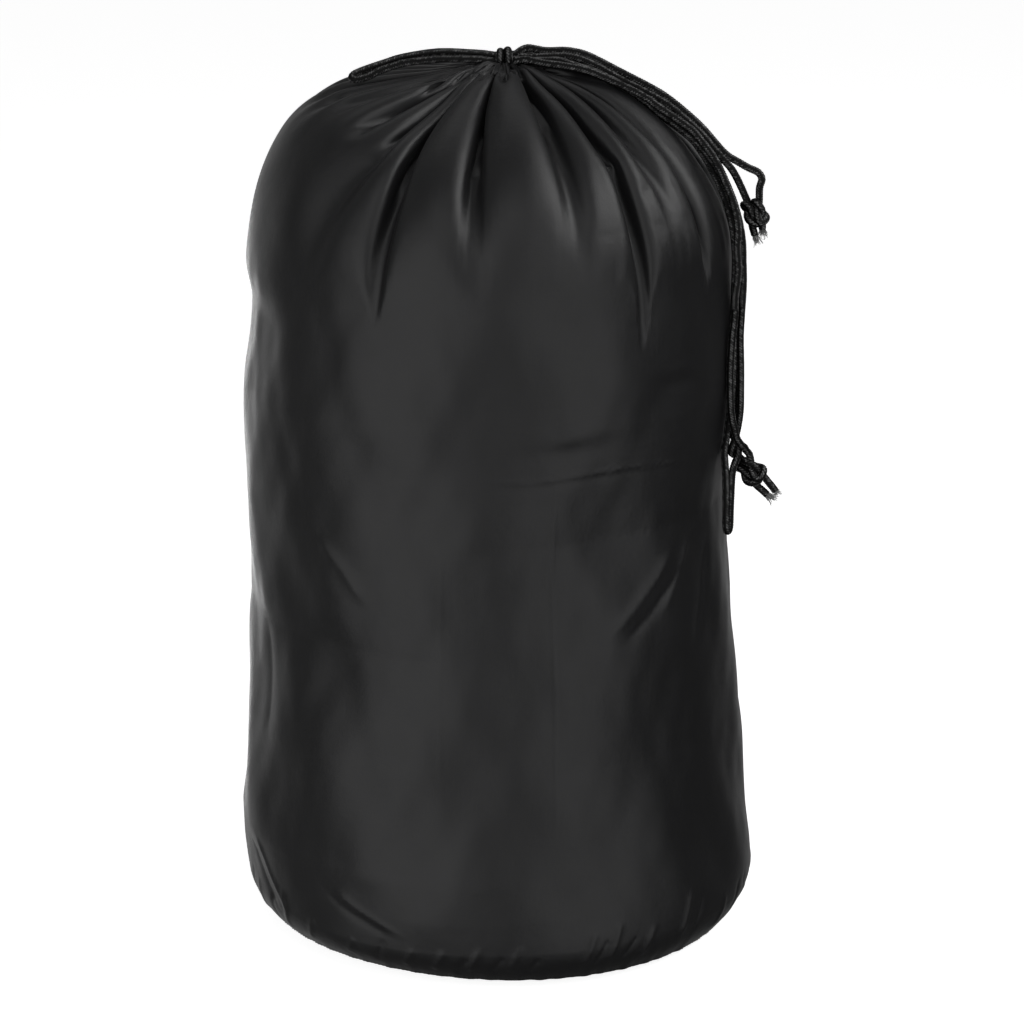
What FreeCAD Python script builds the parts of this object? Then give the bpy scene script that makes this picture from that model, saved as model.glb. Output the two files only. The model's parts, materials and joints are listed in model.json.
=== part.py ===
"""Drawstring storage sack, parametric FreeCAD document.

A round fabric sack with a sewn-in bottom disc and a gathered mouth. Two drawcords run in the hem
channel of the mouth, leave it through two slots and are tied in a bow. One bow loop lies on the
left of the crown. The other loop and two knotted tails hang over the right shoulder.

Frame: millimetres, +Z up, origin at the centre of the resting face, front towards -Y, right +X.
"""
import FreeCAD, Part
import math
import os
import Sketcher
from FreeCAD import Placement, Rotation, Vector

doc = FreeCAD.newDocument("drawstring_sack")

# ---------------------------------------------------------------- driving dimensions
CELLS = [
    # name, value, meaning
    ("wall", 1.2, "modelled fabric wall, lining and seam allowance together"),
    ("base_r", 180.5, "outer radius at the bottom seam"),
    ("bulge_r", 182.5, "outer radius where the filled sack sags widest"),
    ("bulge_z", 55.0, "height of the widest place"),
    ("lower_r", 177.4, "outer radius of the lower wall where the upper wall slides in"),
    ("lower_straight_z", 195.0, "start of the straight length of the lower wall"),
    ("lower_top_z", 330.0, "top edge of the lower wall"),
    ("upper_r", 175.0, "outer radius of the upper wall where it slides"),
    ("upper_bottom_z", 300.0, "bottom edge of the upper wall"),
    ("upper_taper_z", 435.0, "height where the upper wall starts to narrow"),
    ("shoulder_r", 171.0, "outer radius at the shoulder"),
    ("shoulder_z", 505.0, "height of the shoulder"),
    ("shoulder_arc", 94.6, "radius of the shoulder curve"),
    ("crown_arc", 285.0, "radius of the crown curve"),
    ("crown_cz", 330.6, "height of the crown curve's centre"),
    ("throat_r", 18.5, "radius of the gathered mouth in the crown"),
    ("bottom_gap", 0.1, "gap between bottom disc and wall"),
    ("binding_w", 8.0, "width of the binding tape on the bottom seam"),
    ("binding_h", 1.5, "thickness of the binding tape with its seam allowance"),
    ("binding_gap", 0.2, "gap between binding tape and wall"),
    ("binding_lift", 0.1, "gap between binding tape and bottom disc"),
    ("thread_d", 0.6, "sewing thread diameter"),
    ("thread_gap", 0.05, "gap between sewing thread and fabric"),
    ("seam_w", 10.0, "width of the flat-felled side seam"),
    ("seam_t", 0.9, "thickness of the side seam's extra layers"),
    ("seam_gap", 0.3, "gap between the side seam's extra layers and the wall"),
    ("channel_outer_r", 17.0, "outer radius of the gathered hem channel"),
    ("channel_inner_r", 3.4, "inner radius of the gathered hem channel"),
    ("channel_bottom_z", 603.0, "bottom of the hem channel"),
    ("channel_top_z", 611.0, "top of the hem channel"),
    ("channel_wall", 1.4, "gathered fabric around the cords"),
    ("run_a_r", 13.2, "centre radius of drawcord A's run"),
    ("run_b_r", 8.0, "centre radius of drawcord B's run"),
    ("run_gap", 0.3, "gap under the drawcords in the channel"),
    ("slot_w", 12.0, "width of a cord slot"),
    ("slot_d", 5.2, "size of a cord slot from front to back"),
    ("slot_extra", 0.5, "cut of a cord slot beyond the channel wall"),
    ("cord_d", 4.3, "drawcord diameter"),
    ("bow_z", 622.5, "height of the bow knot's centre"),
    ("bow_wrap_r", 4.3, "centre radius of the wrap of the bow knot"),
    ("bow_core_l", 7.0, "length of the bow knot's core"),
    ("drape_deg", -12.0, "direction of the hanging cords, from +X"),
    ("pivot_gap", 3.5, "length of bare bend between two cord lengths"),
    ("knot_r", 7.0, "radius of the core of an end knot"),
    ("lobe_inset", 1.6, "core radius less the centre radius of a knot lobe"),
    ("lobe_extra", 0.6, "extra tube radius of a knot lobe over the cord's"),
]
sheet = doc.addObject("Spreadsheet::Sheet", "Dimensions")
size = {}           # cell name: value


def add_cell(name, value, meaning):
    size[name] = value
    row = len(size)
    sheet.set("A%d" % row, name)
    sheet.set("B%d" % row, repr(value))
    sheet.set("C%d" % row, meaning)
    sheet.setAlias("B%d" % row, name)


for cell in CELLS:
    add_cell(*cell)

# The crown curve, centred on the axis, and the shoulder curve meet at this angle from the axis.
shoulder_cx = size["shoulder_r"] - size["shoulder_arc"]
shoulder_cz = size["shoulder_z"]
crown_cz = size["crown_cz"]
crown_angle = math.atan2(shoulder_cx, shoulder_cz - crown_cz)


def add_crown_cells(prefix, arc, side):
    """Cells for the ends of the crown curve of radius arc: at the shoulder and at the throat."""
    throat_z = crown_cz + math.sqrt(arc ** 2 - size["throat_r"] ** 2)
    for name, value, meaning in (
            ("join%s_x" % prefix, arc * math.sin(crown_angle), "where shoulder and crown meet"),
            ("join%s_z" % prefix, crown_cz + arc * math.cos(crown_angle), "height of that point"),
            ("throat%s_z" % prefix, throat_z, "height of the crown at the throat")):
        add_cell(name, round(value, 9), meaning + side)


add_crown_cells("", size["crown_arc"], ", outside")
add_crown_cells("_in", size["crown_arc"] - size["wall"], ", inside")
doc.recompute()


# ---------------------------------------------------------------- formulas of cells
# A formula is cell names and numbers joined by ' + ' and ' - '; a term may end in ' / number'.
def evaluate(formula):
    total = 0.0
    for term in formula.replace(" - ", " + -").split(" + "):
        signed_name, _, divisor = term.partition(" / ")
        name = signed_name.lstrip("-")
        value = size[name] if name in size else float(name)
        if signed_name.startswith("-"):
            value = -value
        total += value / float(divisor or 1)
    return total


def sheet_expression(formula):
    return " ".join("Dimensions." + word if word in size else word for word in formula.split())


def bind(obj, prop, formula):
    obj.setExpression(prop, sheet_expression(formula))


def constrain(sketch, formula, kind, *where):
    """Dimensional constraint driven by a formula."""
    index = sketch.addConstraint(Sketcher.Constraint(kind, *where, evaluate(formula)))
    bind(sketch, "Constraints[%d]" % index, formula)


# ---------------------------------------------------------------- building helpers
nodes = {}          # node name: document object


def keep(name, obj):
    obj.Label = name
    nodes[name] = obj
    return obj


def new_sketch(body, name, role):
    """Empty sketch on the body's origin plane of that role."""
    sketch = body.newObject("Sketcher::SketchObject", name)
    support = [f for f in body.Origin.OriginFeatures if f.Role == role][0]
    sketch.AttachmentSupport = [(support, "")]
    sketch.MapMode = "FlatFace"
    return sketch


def draw_loop(sketch, points, arcs=None):
    """Closed outline through points, each a pair of formulas.

    arcs: {index of the segment's first point: (radius formula, centre x, centre y)}
    """
    arcs = arcs or {}
    first = sketch.GeometryCount
    count = len(points)
    corners = [(evaluate(x), evaluate(y)) for x, y in points]
    starts = []         # vertex number at which each segment starts
    for i in range(count):
        (x0, y0), (x1, y1) = corners[i], corners[(i + 1) % count]
        start = 1
        if i in arcs:
            _, cx, cy = arcs[i]
            angle0 = math.atan2(y0 - cy, x0 - cx)
            angle1 = math.atan2(y1 - cy, x1 - cx)
            if (angle1 - angle0) % (2 * math.pi) >= math.pi:
                # Sketch arcs run counterclockwise, so a clockwise one is drawn from its end.
                angle0, angle1 = angle1, angle0
                start = 2
            radius = math.hypot(x0 - cx, y0 - cy)
            circle = Part.Circle(Vector(cx, cy, 0), Vector(0, 0, 1), radius)
            segment = Part.ArcOfCircle(circle, angle0, angle1)
        else:
            segment = Part.LineSegment(Vector(x0, y0, 0), Vector(x1, y1, 0))
        sketch.addGeometry(segment, False)
        starts.append(start)
    for i in range(count):
        j = (i + 1) % count
        sketch.addConstraint(
            Sketcher.Constraint("Coincident", first + i, 3 - starts[i], first + j, starts[j]))
    for i, (x, y) in enumerate(points):
        constrain(sketch, x, "DistanceX", -1, 1, first + i, starts[i])
        constrain(sketch, y, "DistanceY", -1, 1, first + i, starts[i])
        if i in arcs:
            constrain(sketch, arcs[i][0], "Radius", first + i)


def revolve(name, points, arcs=None, hole=None):
    """Node turned about Z from an outline of (radius, height) formulas."""
    body = doc.addObject("PartDesign::Body", "Body_" + name)
    sketch = new_sketch(body, "Profile_" + name, "XZ_Plane")
    draw_loop(sketch, points, arcs)
    if hole:
        draw_loop(sketch, hole)
    doc.recompute()
    revolution = body.newObject("PartDesign::Revolution", "Revolve_" + name)
    revolution.Profile = sketch
    revolution.ReferenceAxis = (sketch, ["V_Axis"])
    revolution.Angle = 360.0
    doc.recompute()
    sketch.Visibility = False
    return keep(name, body)


def torus(name, radius, tube_radius, centre, rotation=Rotation()):
    obj = doc.addObject("Part::Torus", name)
    bind(obj, "Radius1", radius)
    bind(obj, "Radius2", tube_radius)
    obj.Placement = Placement(centre, rotation)
    return obj


def multi_fuse(name, shapes):
    """Node fused from document objects."""
    fuse = doc.addObject("Part::MultiFuse", "Fuse_" + name)
    fuse.Shapes = shapes
    doc.recompute()
    return keep(name, fuse)


# ---------------------------------------------------------------- walls and bottom
def lower_body_wall():
    """Tube that sags wider towards the bottom."""
    revolve("lower_body_wall", [
        ("base_r", "0"), ("bulge_r", "bulge_z"),
        ("lower_r", "lower_straight_z"), ("lower_r", "lower_top_z"),
        ("lower_r - wall", "lower_top_z"), ("lower_r - wall", "lower_straight_z"),
        ("bulge_r - wall", "bulge_z"), ("base_r - wall", "0")])


def upper_body_wall():
    """Tube with the shoulder and the domed crown, open at the throat."""
    revolve("upper_body_wall", [
        ("upper_r", "upper_bottom_z"), ("upper_r", "upper_taper_z"),
        ("shoulder_r", "shoulder_z"), ("join_x", "join_z"),
        ("throat_r", "throat_z"), ("throat_r", "throat_in_z"),
        ("join_in_x", "join_in_z"), ("shoulder_r - wall", "shoulder_z"),
        ("upper_r - wall", "upper_taper_z"), ("upper_r - wall", "upper_bottom_z")],
        arcs={2: ("shoulder_arc", shoulder_cx, shoulder_cz),
              3: ("crown_arc", 0.0, crown_cz),
              5: ("crown_arc - wall", 0.0, crown_cz),
              6: ("shoulder_arc - wall", shoulder_cx, shoulder_cz)})


def bottom_panel():
    """Flat disc inside the foot of the wall."""
    radius = "base_r - wall - bottom_gap"
    body = doc.addObject("PartDesign::Body", "Body_bottom_panel")
    sketch = new_sketch(body, "Profile_bottom_panel", "XY_Plane")
    sketch.addGeometry(Part.Circle(Vector(0, 0, 0), Vector(0, 0, 1), evaluate(radius)), False)
    sketch.addConstraint(Sketcher.Constraint("Coincident", 0, 3, -1, 1))
    constrain(sketch, radius, "Radius", 0)
    pad = body.newObject("PartDesign::Pad", "Pad_bottom_panel")
    pad.Profile = sketch
    bind(pad, "Length", "wall")
    doc.recompute()
    keep("bottom_panel", body)


def bottom_seam_binding():
    """Tape over the raw edges of the bottom seam, inside the sack."""
    outer = "base_r - wall - binding_gap"
    inner = outer + " - binding_w"
    bottom = "wall + binding_lift"
    top = bottom + " + binding_h"
    revolve("bottom_seam_binding",
            [(inner, bottom), (outer, bottom), (outer, top), (inner, top)])


def bottom_seam_thread():
    """Row of stitching along the middle of the binding."""
    z = evaluate("wall + binding_lift + binding_h + thread_gap + thread_d / 2")
    keep("bottom_seam_thread",
         torus("Torus_bottom_seam_thread", "base_r - wall - binding_gap - binding_w / 2",
               "thread_d / 2", Vector(0, 0, z)))


def side_seam(name, outer_radius, z0, z1):
    """Curved strip of the side seam on the inside of a wall, at the back of the sack."""
    inner_radius = outer_radius + " - seam_t"
    half_angle = math.degrees(size["seam_w"] / 2 / evaluate(outer_radius))
    sectors = []
    # The cutting sector is twice as wide as the strip.
    for prefix, radius, reach in (("Outer_", outer_radius, half_angle),
                                  ("Inner_", inner_radius, 2 * half_angle)):
        sector = doc.addObject("Part::Cylinder", prefix + name)
        bind(sector, "Radius", radius)
        sector.Height = z1 - z0
        sector.Angle = 2 * reach
        sector.Placement = Placement(Vector(0, 0, z0), Rotation(Vector(0, 0, 1), 90 - reach))
        sectors.append(sector)
    cut = doc.addObject("Part::Cut", "Cut_" + name)
    cut.Base, cut.Tool = sectors
    doc.recompute()
    keep(name, cut)


LOWER_SEAM_Z0 = 6.0         # above the binding
LOWER_SEAM_TOP_GAP = 1.0    # below the straight length of the lower wall
UPPER_SEAM_BOTTOM_GAP = 2.0
UPPER_SEAM_TOP_GAP = 3.0    # below the shoulder

lower_body_wall()
upper_body_wall()
bottom_panel()
bottom_seam_binding()
bottom_seam_thread()
side_seam("side_seam_lower", "lower_r - wall - seam_gap",
          LOWER_SEAM_Z0, size["lower_straight_z"] - LOWER_SEAM_TOP_GAP)
side_seam("side_seam_upper", "shoulder_r - wall - seam_gap",
          size["upper_bottom_z"] + UPPER_SEAM_BOTTOM_GAP, size["shoulder_z"] - UPPER_SEAM_TOP_GAP)


# ---------------------------------------------------------------- gathered mouth
def hem_channel():
    """Hollow ring of gathered fabric with a slot in its top at the back and at the front."""
    inner, outer = "channel_inner_r", "channel_outer_r"
    bottom, top = "channel_bottom_z", "channel_top_z"
    inward, outward = " - channel_wall", " + channel_wall"
    body = revolve(
        "hem_channel", [(inner, bottom), (outer, bottom), (outer, top), (inner, top)],
        hole=[(inner + outward, bottom + outward), (outer + inward, bottom + outward),
              (outer + inward, top + inward), (inner + outward, top + inward)])
    sketch = new_sketch(body, "Slot_sketch", "XY_Plane")
    sketch.AttachmentOffset = Placement(Vector(0, 0, size["channel_top_z"]), Rotation())
    left, right = "0 - slot_w / 2", "slot_w / 2"
    for run_y in ("run_a_r", "0 - run_b_r"):
        front, back = run_y + " - slot_d / 2", run_y + " + slot_d / 2"
        draw_loop(sketch, [(left, front), (right, front), (right, back), (left, back)])
    doc.recompute()
    largest_cut_volume = body.Shape.Volume - 50
    slots = body.newObject("PartDesign::Pocket", "Slots")
    slots.Profile = sketch
    bind(slots, "Length", "channel_wall + slot_extra")
    doc.recompute()
    # Guards against a pocket that runs up, away from the channel.
    if not body.Shape.Volume < largest_cut_volume:
        slots.Reversed = True
        doc.recompute()
    assert body.Shape.Volume < largest_cut_volume, "the cord slots cut nothing"


def channel_stitching():
    """Ring of thread under the channel."""
    z = evaluate("channel_bottom_z - thread_gap - thread_d / 2")
    keep("channel_stitching",
         torus("Torus_channel_thread", "channel_outer_r - 2", "thread_d / 2", Vector(0, 0, z)))


cord_r = size["cord_d"] / 2


def sweep(path, start, direction):
    """Round cord along a wire that leaves start in that direction."""
    ring = Part.Wire(Part.Circle(start, direction, cord_r).toShape())
    cord = path.makePipeShell([ring], True, False, 0)
    if cord.Volume < 0:
        cord.reverse()
    return cord


def pipe(points):
    """Solid round cord along a smooth curve through the points."""
    curve = Part.BSplineCurve()
    curve.interpolate(points)
    first = curve.FirstParameter
    cord = sweep(Part.Wire(curve.toShape()), curve.value(first), curve.tangent(first)[0])
    # Guards against a sweep that comes back as a shell.
    return cord if cord.ShapeType == "Solid" else Part.Solid(cord.Shells[0])


LEG_X = 2.4         # the two legs of a cord stand this far left and right of the slot's middle
LEG_END_Y = 8.0     # distance of the leg ends from the bow's centre plane


def cord_in_channel(name, cell, side):
    """A drawcord's full turn in the channel, with both ends led up through a slot.

    side: 1 for the slot at the back, -1 for the one at the front
    """
    z = evaluate("channel_bottom_z + channel_wall + run_gap + cord_d / 2")
    top = size["channel_top_z"]
    y = side * size[cell]
    pieces = [torus("Ring_" + name, cell, "cord_d / 2", Vector(0, 0, z))]
    for i, x in enumerate((-LEG_X, LEG_X)):
        leg = doc.addObject("Part::Feature", "Leg%d_%s" % (i, name))
        leg.Shape = pipe([
            Vector(x, y, z), Vector(x, y, z + 2.5), Vector(x, y, top + 0.8),
            Vector(x, y * 0.62 + side * 4.0, top + 4.6), Vector(x, side * LEG_END_Y, top + 7.2)])
        pieces.append(leg)
    multi_fuse(name, pieces)


hem_channel()
channel_stitching()
cord_in_channel("drawcord_a_in_channel", "run_a_r", 1)
cord_in_channel("drawcord_b_in_channel", "run_b_r", -1)

# ---------------------------------------------------------------- bow
# Left loop: out along the back, round its end and home along the front.
LEFT_LOOP = [       # x, y, height over the bow knot's centre
    (-9, 2.6, 0), (-17.8, 3.6, 4.6), (-39, 5.0, 4.6), (-57, 6.0, 2.6), (-78, 6.2, -2.2),
    (-93, 4.4, -8.2), (-101, -0.5, -11.6), (-96, -5.6, -10.6), (-84, -7.6, -6.5),
    (-66, -7.2, -2.2), (-46, -5.6, 0.4), (-26, -3.8, 1.4), (-9, -2.6, 0),
]


def bow_knot():
    """One strand wrapped round a core that lies along X."""
    along_x = Rotation(Vector(0, 1, 0), 90)
    wrap = torus("Bow_wrap", "bow_wrap_r", "cord_d / 2", Vector(0, 0, size["bow_z"]), along_x)
    core = doc.addObject("Part::Cylinder", "Bow_core")
    bind(core, "Radius", "bow_wrap_r")
    bind(core, "Height", "bow_core_l")
    core.Placement = Placement(Vector(-size["bow_core_l"] / 2, 0, size["bow_z"]), along_x)
    fuse = doc.addObject("Part::Fuse", "Bow_knot_fuse")
    fuse.Base, fuse.Tool = wrap, core
    doc.recompute()
    keep("bow_knot", fuse)


def cords(name, shapes):
    """Node of one or more separate cord lengths."""
    obj = doc.addObject("Part::Feature", "Cord_" + name)
    obj.Shape = shapes[0] if len(shapes) == 1 else Part.makeCompound(shapes)
    keep(name, obj)


bow_knot()
cords("bow_loop_left", [pipe([Vector(x, y, size["bow_z"] + z) for x, y, z in LEFT_LOOP])])

# ---------------------------------------------------------------- cords over the right shoulder
drape_angle = math.radians(size["drape_deg"])
OUTWARD = Vector(math.cos(drape_angle), math.sin(drape_angle), 0)
SIDEWAYS = Vector(-math.sin(drape_angle), math.cos(drape_angle), 0)

# Lengths along the sack's meridian, measured from the axis over the crown.
crown_length = size["crown_arc"] * crown_angle
shoulder_end = crown_length + size["shoulder_arc"] * (math.pi / 2 - crown_angle)


def surface(along, lift):
    """(radius, height) of a point lift outside the sack, at a length along its meridian."""
    if along < crown_length:
        angle = along / size["crown_arc"]
        arc = size["crown_arc"] + lift
        return arc * math.sin(angle), crown_cz + arc * math.cos(angle)
    if along < shoulder_end:
        angle = crown_angle + (along - crown_length) / size["shoulder_arc"]
        arc = size["shoulder_arc"] + lift
        return shoulder_cx + arc * math.sin(angle), shoulder_cz + arc * math.cos(angle)
    return size["shoulder_r"] + lift, shoulder_cz - (along - shoulder_end)


def drape_point(outward, side, z):
    """Point in the frame of the drape direction."""
    return OUTWARD * outward + SIDEWAYS * side + Vector(0, 0, z)


def radial_point(radius, side, z):
    """Point at that radius from the axis, side sideways of the drape direction."""
    return drape_point(math.sqrt(max(radius * radius - side * side, 0.0)), side, z)


def keyed(keys, along):
    """Linear value between keyframes [(along, value)]."""
    if along <= keys[0][0]:
        return keys[0][1]
    for (along0, value0), (along1, value1) in zip(keys, keys[1:]):
        if along <= along1:
            return value0 + (value1 - value0) * (along - along0) / (along1 - along0)
    return keys[-1][1]


LIFT = cord_r + 0.5                         # centre of a cord lying on the sack
SECOND_LIFT = LIFT + size["cord_d"] + 0.35  # centre of a cord lying on other cords
LANE = 4.7                                  # sideways pitch of the cords at the bow
LEAVE_DROP = 1.0        # tail B and the loop leave the sack this far below the shoulder
TAIL_A_LEAVES = crown_length + 74.0
OTHERS_LEAVE = shoulder_end + LEAVE_DROP
# Sideways places of each cord's two strands where they leave the sack.
TAIL_A_SIDES = (9.0, 13.8)
TAIL_B_SIDES = (-20.0, -15.2)
LOOP_SIDES = (-5.4, -0.6)

# Per cord, its two strands: keyframes along the meridian of (sideways place), (lift).
TAIL_B = [
    ([(0, -LANE), (26, -LANE), (76, -9.5), (OTHERS_LEAVE, TAIL_B_SIDES[0])], [(0, LIFT)]),
    ([(0, 0.0), (26, 0.0), (76, -4.75), (OTHERS_LEAVE, TAIL_B_SIDES[1])], [(0, LIFT)]),
]
RIGHT_LOOP = [
    ([(0, LANE), (26, LANE), (76, 0.0), (112, -0.1), (OTHERS_LEAVE, LOOP_SIDES[0])],
     [(0, LIFT)]),
    ([(0, LANE), (112, 4.75), (OTHERS_LEAVE, LOOP_SIDES[1])],
     [(0, SECOND_LIFT), (78, SECOND_LIFT), (112, LIFT)]),
]
TAIL_A = [
    ([(0, -LANE), (112, -LANE), (150, -0.6), (TAIL_A_LEAVES, TAIL_A_SIDES[0])],
     [(0, SECOND_LIFT)]),
    ([(0, 0.0), (112, 0.0), (150, 4.2), (TAIL_A_LEAVES, TAIL_A_SIDES[1])],
     [(0, SECOND_LIFT)]),
]

STUB_START, STUB_END = 8.0, 16.5    # short lengths at the bow
DRAPE_START = 20.5
HALF_GAP = size["pivot_gap"] / 2


def strands(cord, start, end, step):
    """Both strands of a cord from start to end along the meridian, with points step apart."""
    intervals = max(3, int(round((end - start) / step)))
    pipes = []
    for side_keys, lift_keys in cord:
        points = []
        for i in range(intervals + 1):
            along = start + (end - start) * i / intervals
            radius, z = surface(along, keyed(lift_keys, along))
            points.append(radial_point(radius, keyed(side_keys, along), z))
        pipes.append(pipe(points))
    return pipes


cords("bow_right_strands", strands(TAIL_B + RIGHT_LOOP + TAIL_A, STUB_START, STUB_END, step=3.0))
for name, cord, leaves in (("tail_a_over_crown", TAIL_A, TAIL_A_LEAVES),
                           ("tail_b_over_crown", TAIL_B, OTHERS_LEAVE),
                           ("bow_loop_right_over_crown", RIGHT_LOOP, OTHERS_LEAVE)):
    cords(name, strands(cord, DRAPE_START, leaves - HALF_GAP, step=11.0))

# ---------------------------------------------------------------- end knots
LOBE_SHIFT = 3.6    # of each lobe from the knot's centre, along the cord
LOBE_TILT = 24.0    # degrees
END_SIDE = 2.6      # the two cord ends leave a knot this far to either side of its middle


def end_knot(name, centre, along):
    """Knot of a doubled cord: two tilted round lobes laid over each other around a ball."""
    rotation = Rotation(Vector(0, 0, 1), along)
    parts = []
    for i, sign in enumerate((1, -1)):
        shift = rotation.multVec(Vector(0, 0, sign * LOBE_SHIFT))
        tilt = Rotation(Vector(1, 0, 0), sign * LOBE_TILT)
        parts.append(torus("Lobe%d_%s" % (i, name), "knot_r - lobe_inset",
                           "cord_d / 2 + lobe_extra", centre + shift, rotation.multiply(tilt)))
    ball = doc.addObject("Part::Sphere", "Core_" + name)
    bind(ball, "Radius", "knot_r")
    ball.Placement = Placement(centre, rotation)
    multi_fuse(name, parts + [ball])


def knot_ends(name, radius, side, z, outward, spread, fall, steps):
    """The two cord ends below a knot; outward (one per end), spread and fall are per unit step."""
    ends = []
    for offset, out in zip((-END_SIDE, END_SIDE), outward):
        ends.append(pipe([radial_point(radius + out * step,
                                       side + offset * (1 + spread * step),
                                       z - fall * step) for step in steps]))
    cords(name, ends)


# ---------------------------------------------------------------- tail A
# One strand bows outwards, the other hangs straighter; both end above the knot.
TAIL_A_STRANDS = [  # outwards, sideways and down from where the tail leaves the sack
    [(1.2, 9.0, 2.4), (6.0, 8.9, 5.6), (15, 8.7, 9.8),
     (22.5, 8.8, 15.2), (24.6, 9.0, 24), (22.4, 9.4, 32.4)],
    [(1.2, 13.8, 2.4), (5.5, 13.7, 9.5), (11.5, 13.4, 21), (17.2, 13.3, 32.4)],
]
KNOT_A_OUT = 20.5
KNOT_A_DOWN = 43.2
ENDS_A_DOWN = 52.6

tail_a_r, tail_a_z = surface(TAIL_A_LEAVES, SECOND_LIFT)
knot_a_r = tail_a_r + KNOT_A_OUT
knot_a_side = sum(TAIL_A_SIDES) / 2
cords("tail_a_strands",
      [pipe([radial_point(tail_a_r + out, side, tail_a_z - down) for out, side, down in rows])
       for rows in TAIL_A_STRANDS])
end_knot("tail_a_knot", radial_point(knot_a_r, knot_a_side, tail_a_z - KNOT_A_DOWN),
         Vector(0, 0, 1))
knot_ends("tail_a_ends", knot_a_r, knot_a_side, tail_a_z - ENDS_A_DOWN,
          outward=(1.3, 0.2), spread=0.25, fall=7.5, steps=(0, 0.5, 1.0, 1.6, 2.1))

# ---------------------------------------------------------------- hanging cords
SWING_Z = 65.0      # height over which the cords swing out to clear the lower wall
shoulder_hang_r = size["shoulder_r"] + LIFT
lower_hang_r = size["lower_r"] + LIFT
leave_z = shoulder_cz - LEAVE_DROP


def clamped(value):
    return min(1.0, max(0.0, value))


def smooth(value):
    """Smooth step from 0 to 1 while value goes from 0 to 1."""
    value = clamped(value)
    return value * value * (3 - 2 * value)


def hanging_point(side, z, lean=0.0):
    swing = smooth((shoulder_cz - z) / SWING_Z)
    radius = shoulder_hang_r + (lower_hang_r - shoulder_hang_r) * swing
    return radial_point(radius + lean, side, z)


def hanging(name, sides, z0, z1, count, lean=lambda z: 0.0):
    """Node of hanging strands from z0 down to z1."""
    heights = [z0 + (z1 - z0) * i / (count - 1) for i in range(count)]
    cords(name, [pipe([hanging_point(side, z, lean(z)) for z in heights]) for side in sides])


# ---------------------------------------------------------------- tail B
TAIL_B_MID_Z = 418.0    # between the upper and the lower length
TAIL_B_END_Z = 338.4
LEAN_TOP_Z = 372.0      # the lower length leads outwards from here
LEAN_HEIGHT = 34.0
LEAN = 9.4
KNOT_B_OUT = 11.4
KNOT_B_Z = 328.4
ENDS_B_OUT = 5.4        # further out than the knot's centre
ENDS_B_Z = 319.0


def tail_b_lean(z):
    """The tail stands off the wall towards its knot."""
    return LEAN * clamped((LEAN_TOP_Z - z) / LEAN_HEIGHT) ** 2


hanging("tail_b_upper_strands", TAIL_B_SIDES, leave_z - HALF_GAP, TAIL_B_MID_Z + HALF_GAP, 8)
hanging("tail_b_lower_strands", TAIL_B_SIDES, TAIL_B_MID_Z - HALF_GAP, TAIL_B_END_Z, 9,
        tail_b_lean)
knot_b_r = lower_hang_r + KNOT_B_OUT
knot_b_side = sum(TAIL_B_SIDES) / 2
end_knot("tail_b_knot", radial_point(knot_b_r, knot_b_side, KNOT_B_Z),
         drape_point(-0.5, 0, 1).normalize())
knot_ends("tail_b_ends", knot_b_r + ENDS_B_OUT, knot_b_side, ENDS_B_Z,
          outward=(8.0, 10.0), spread=0.3, fall=8.5, steps=(0, 0.5, 1.0, 1.5, 2.0))

# ---------------------------------------------------------------- right bow loop
LOOP_MID_Z = 400.0      # between the upper and the lower length
TURN_Z = 290.0          # centre of the turn at the bottom
TURN_R = 4.0
SPLAY_TOP_Z = 340.0
SPLAY_HEIGHT = 40.0
LOOP_INTERVALS = 10     # between the points of a strand
END_TANGENT = 10        # length of the tangent vectors at the ends of a strand


def splay(z):
    """The two strands part a little towards the turn."""
    extra = TURN_R - (LOOP_SIDES[1] - LOOP_SIDES[0]) / 2
    return extra * smooth((SPLAY_TOP_Z - z) / SPLAY_HEIGHT)


def vertical_ended_curve(points, direction):
    """Smooth curve that starts and ends vertically: direction 1 is up, -1 down."""
    tangent = Vector(0, 0, direction * END_TANGENT)
    curve = Part.BSplineCurve()
    curve.interpolate(Points=points, InitialTangent=tangent, FinalTangent=tangent)
    return curve.toShape()


def bow_loop_right_lower():
    """Down one strand, round the turn and up the other strand."""
    top = LOOP_MID_Z - HALF_GAP
    heights = [top - (top - TURN_Z) * i / LOOP_INTERVALS for i in range(LOOP_INTERVALS + 1)]
    down = [hanging_point(LOOP_SIDES[0] - splay(z), z) for z in heights]
    up = [hanging_point(LOOP_SIDES[1] + splay(z), z) for z in reversed(heights)]
    # Both ends of the turn take the same distance outwards, so that the turn lies flat.
    outward = (down[-1] + up[0]).dot(OUTWARD) / 2
    middle = sum(LOOP_SIDES) / 2
    down[-1] = drape_point(outward, middle - TURN_R, TURN_Z)
    up[0] = drape_point(outward, middle + TURN_R, TURN_Z)
    lowest = drape_point(outward, middle, TURN_Z - TURN_R)
    path = Part.Wire([vertical_ended_curve(down, -1),
                      Part.Arc(down[-1], lowest, up[0]).toShape(),
                      vertical_ended_curve(up, 1)])
    cords("bow_loop_right_lower", [sweep(path, down[0], Vector(0, 0, -1))])


hanging("bow_loop_right_upper", LOOP_SIDES, leave_z - HALF_GAP, LOOP_MID_Z + HALF_GAP, 9)
bow_loop_right_lower()

# ---------------------------------------------------------------- check and write
doc.recompute()
bad = [o.Name for o in doc.Objects if "Invalid" in o.State or "Error" in o.State]
assert not bad, "failed objects: %s" % bad
os.makedirs("parts", exist_ok=True)
for old in os.listdir("parts"):
    os.remove(os.path.join("parts", old))
for name, obj in nodes.items():
    shape = obj.Shape
    assert not shape.isNull() and shape.isValid(), "bad shape: " + name
    closed = all(s.isClosed() and s.Volume > 0 for s in shape.Solids)
    assert shape.Solids and closed, "not solid: " + name
    shape.exportStep(os.path.join("parts", name + ".step"))
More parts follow.
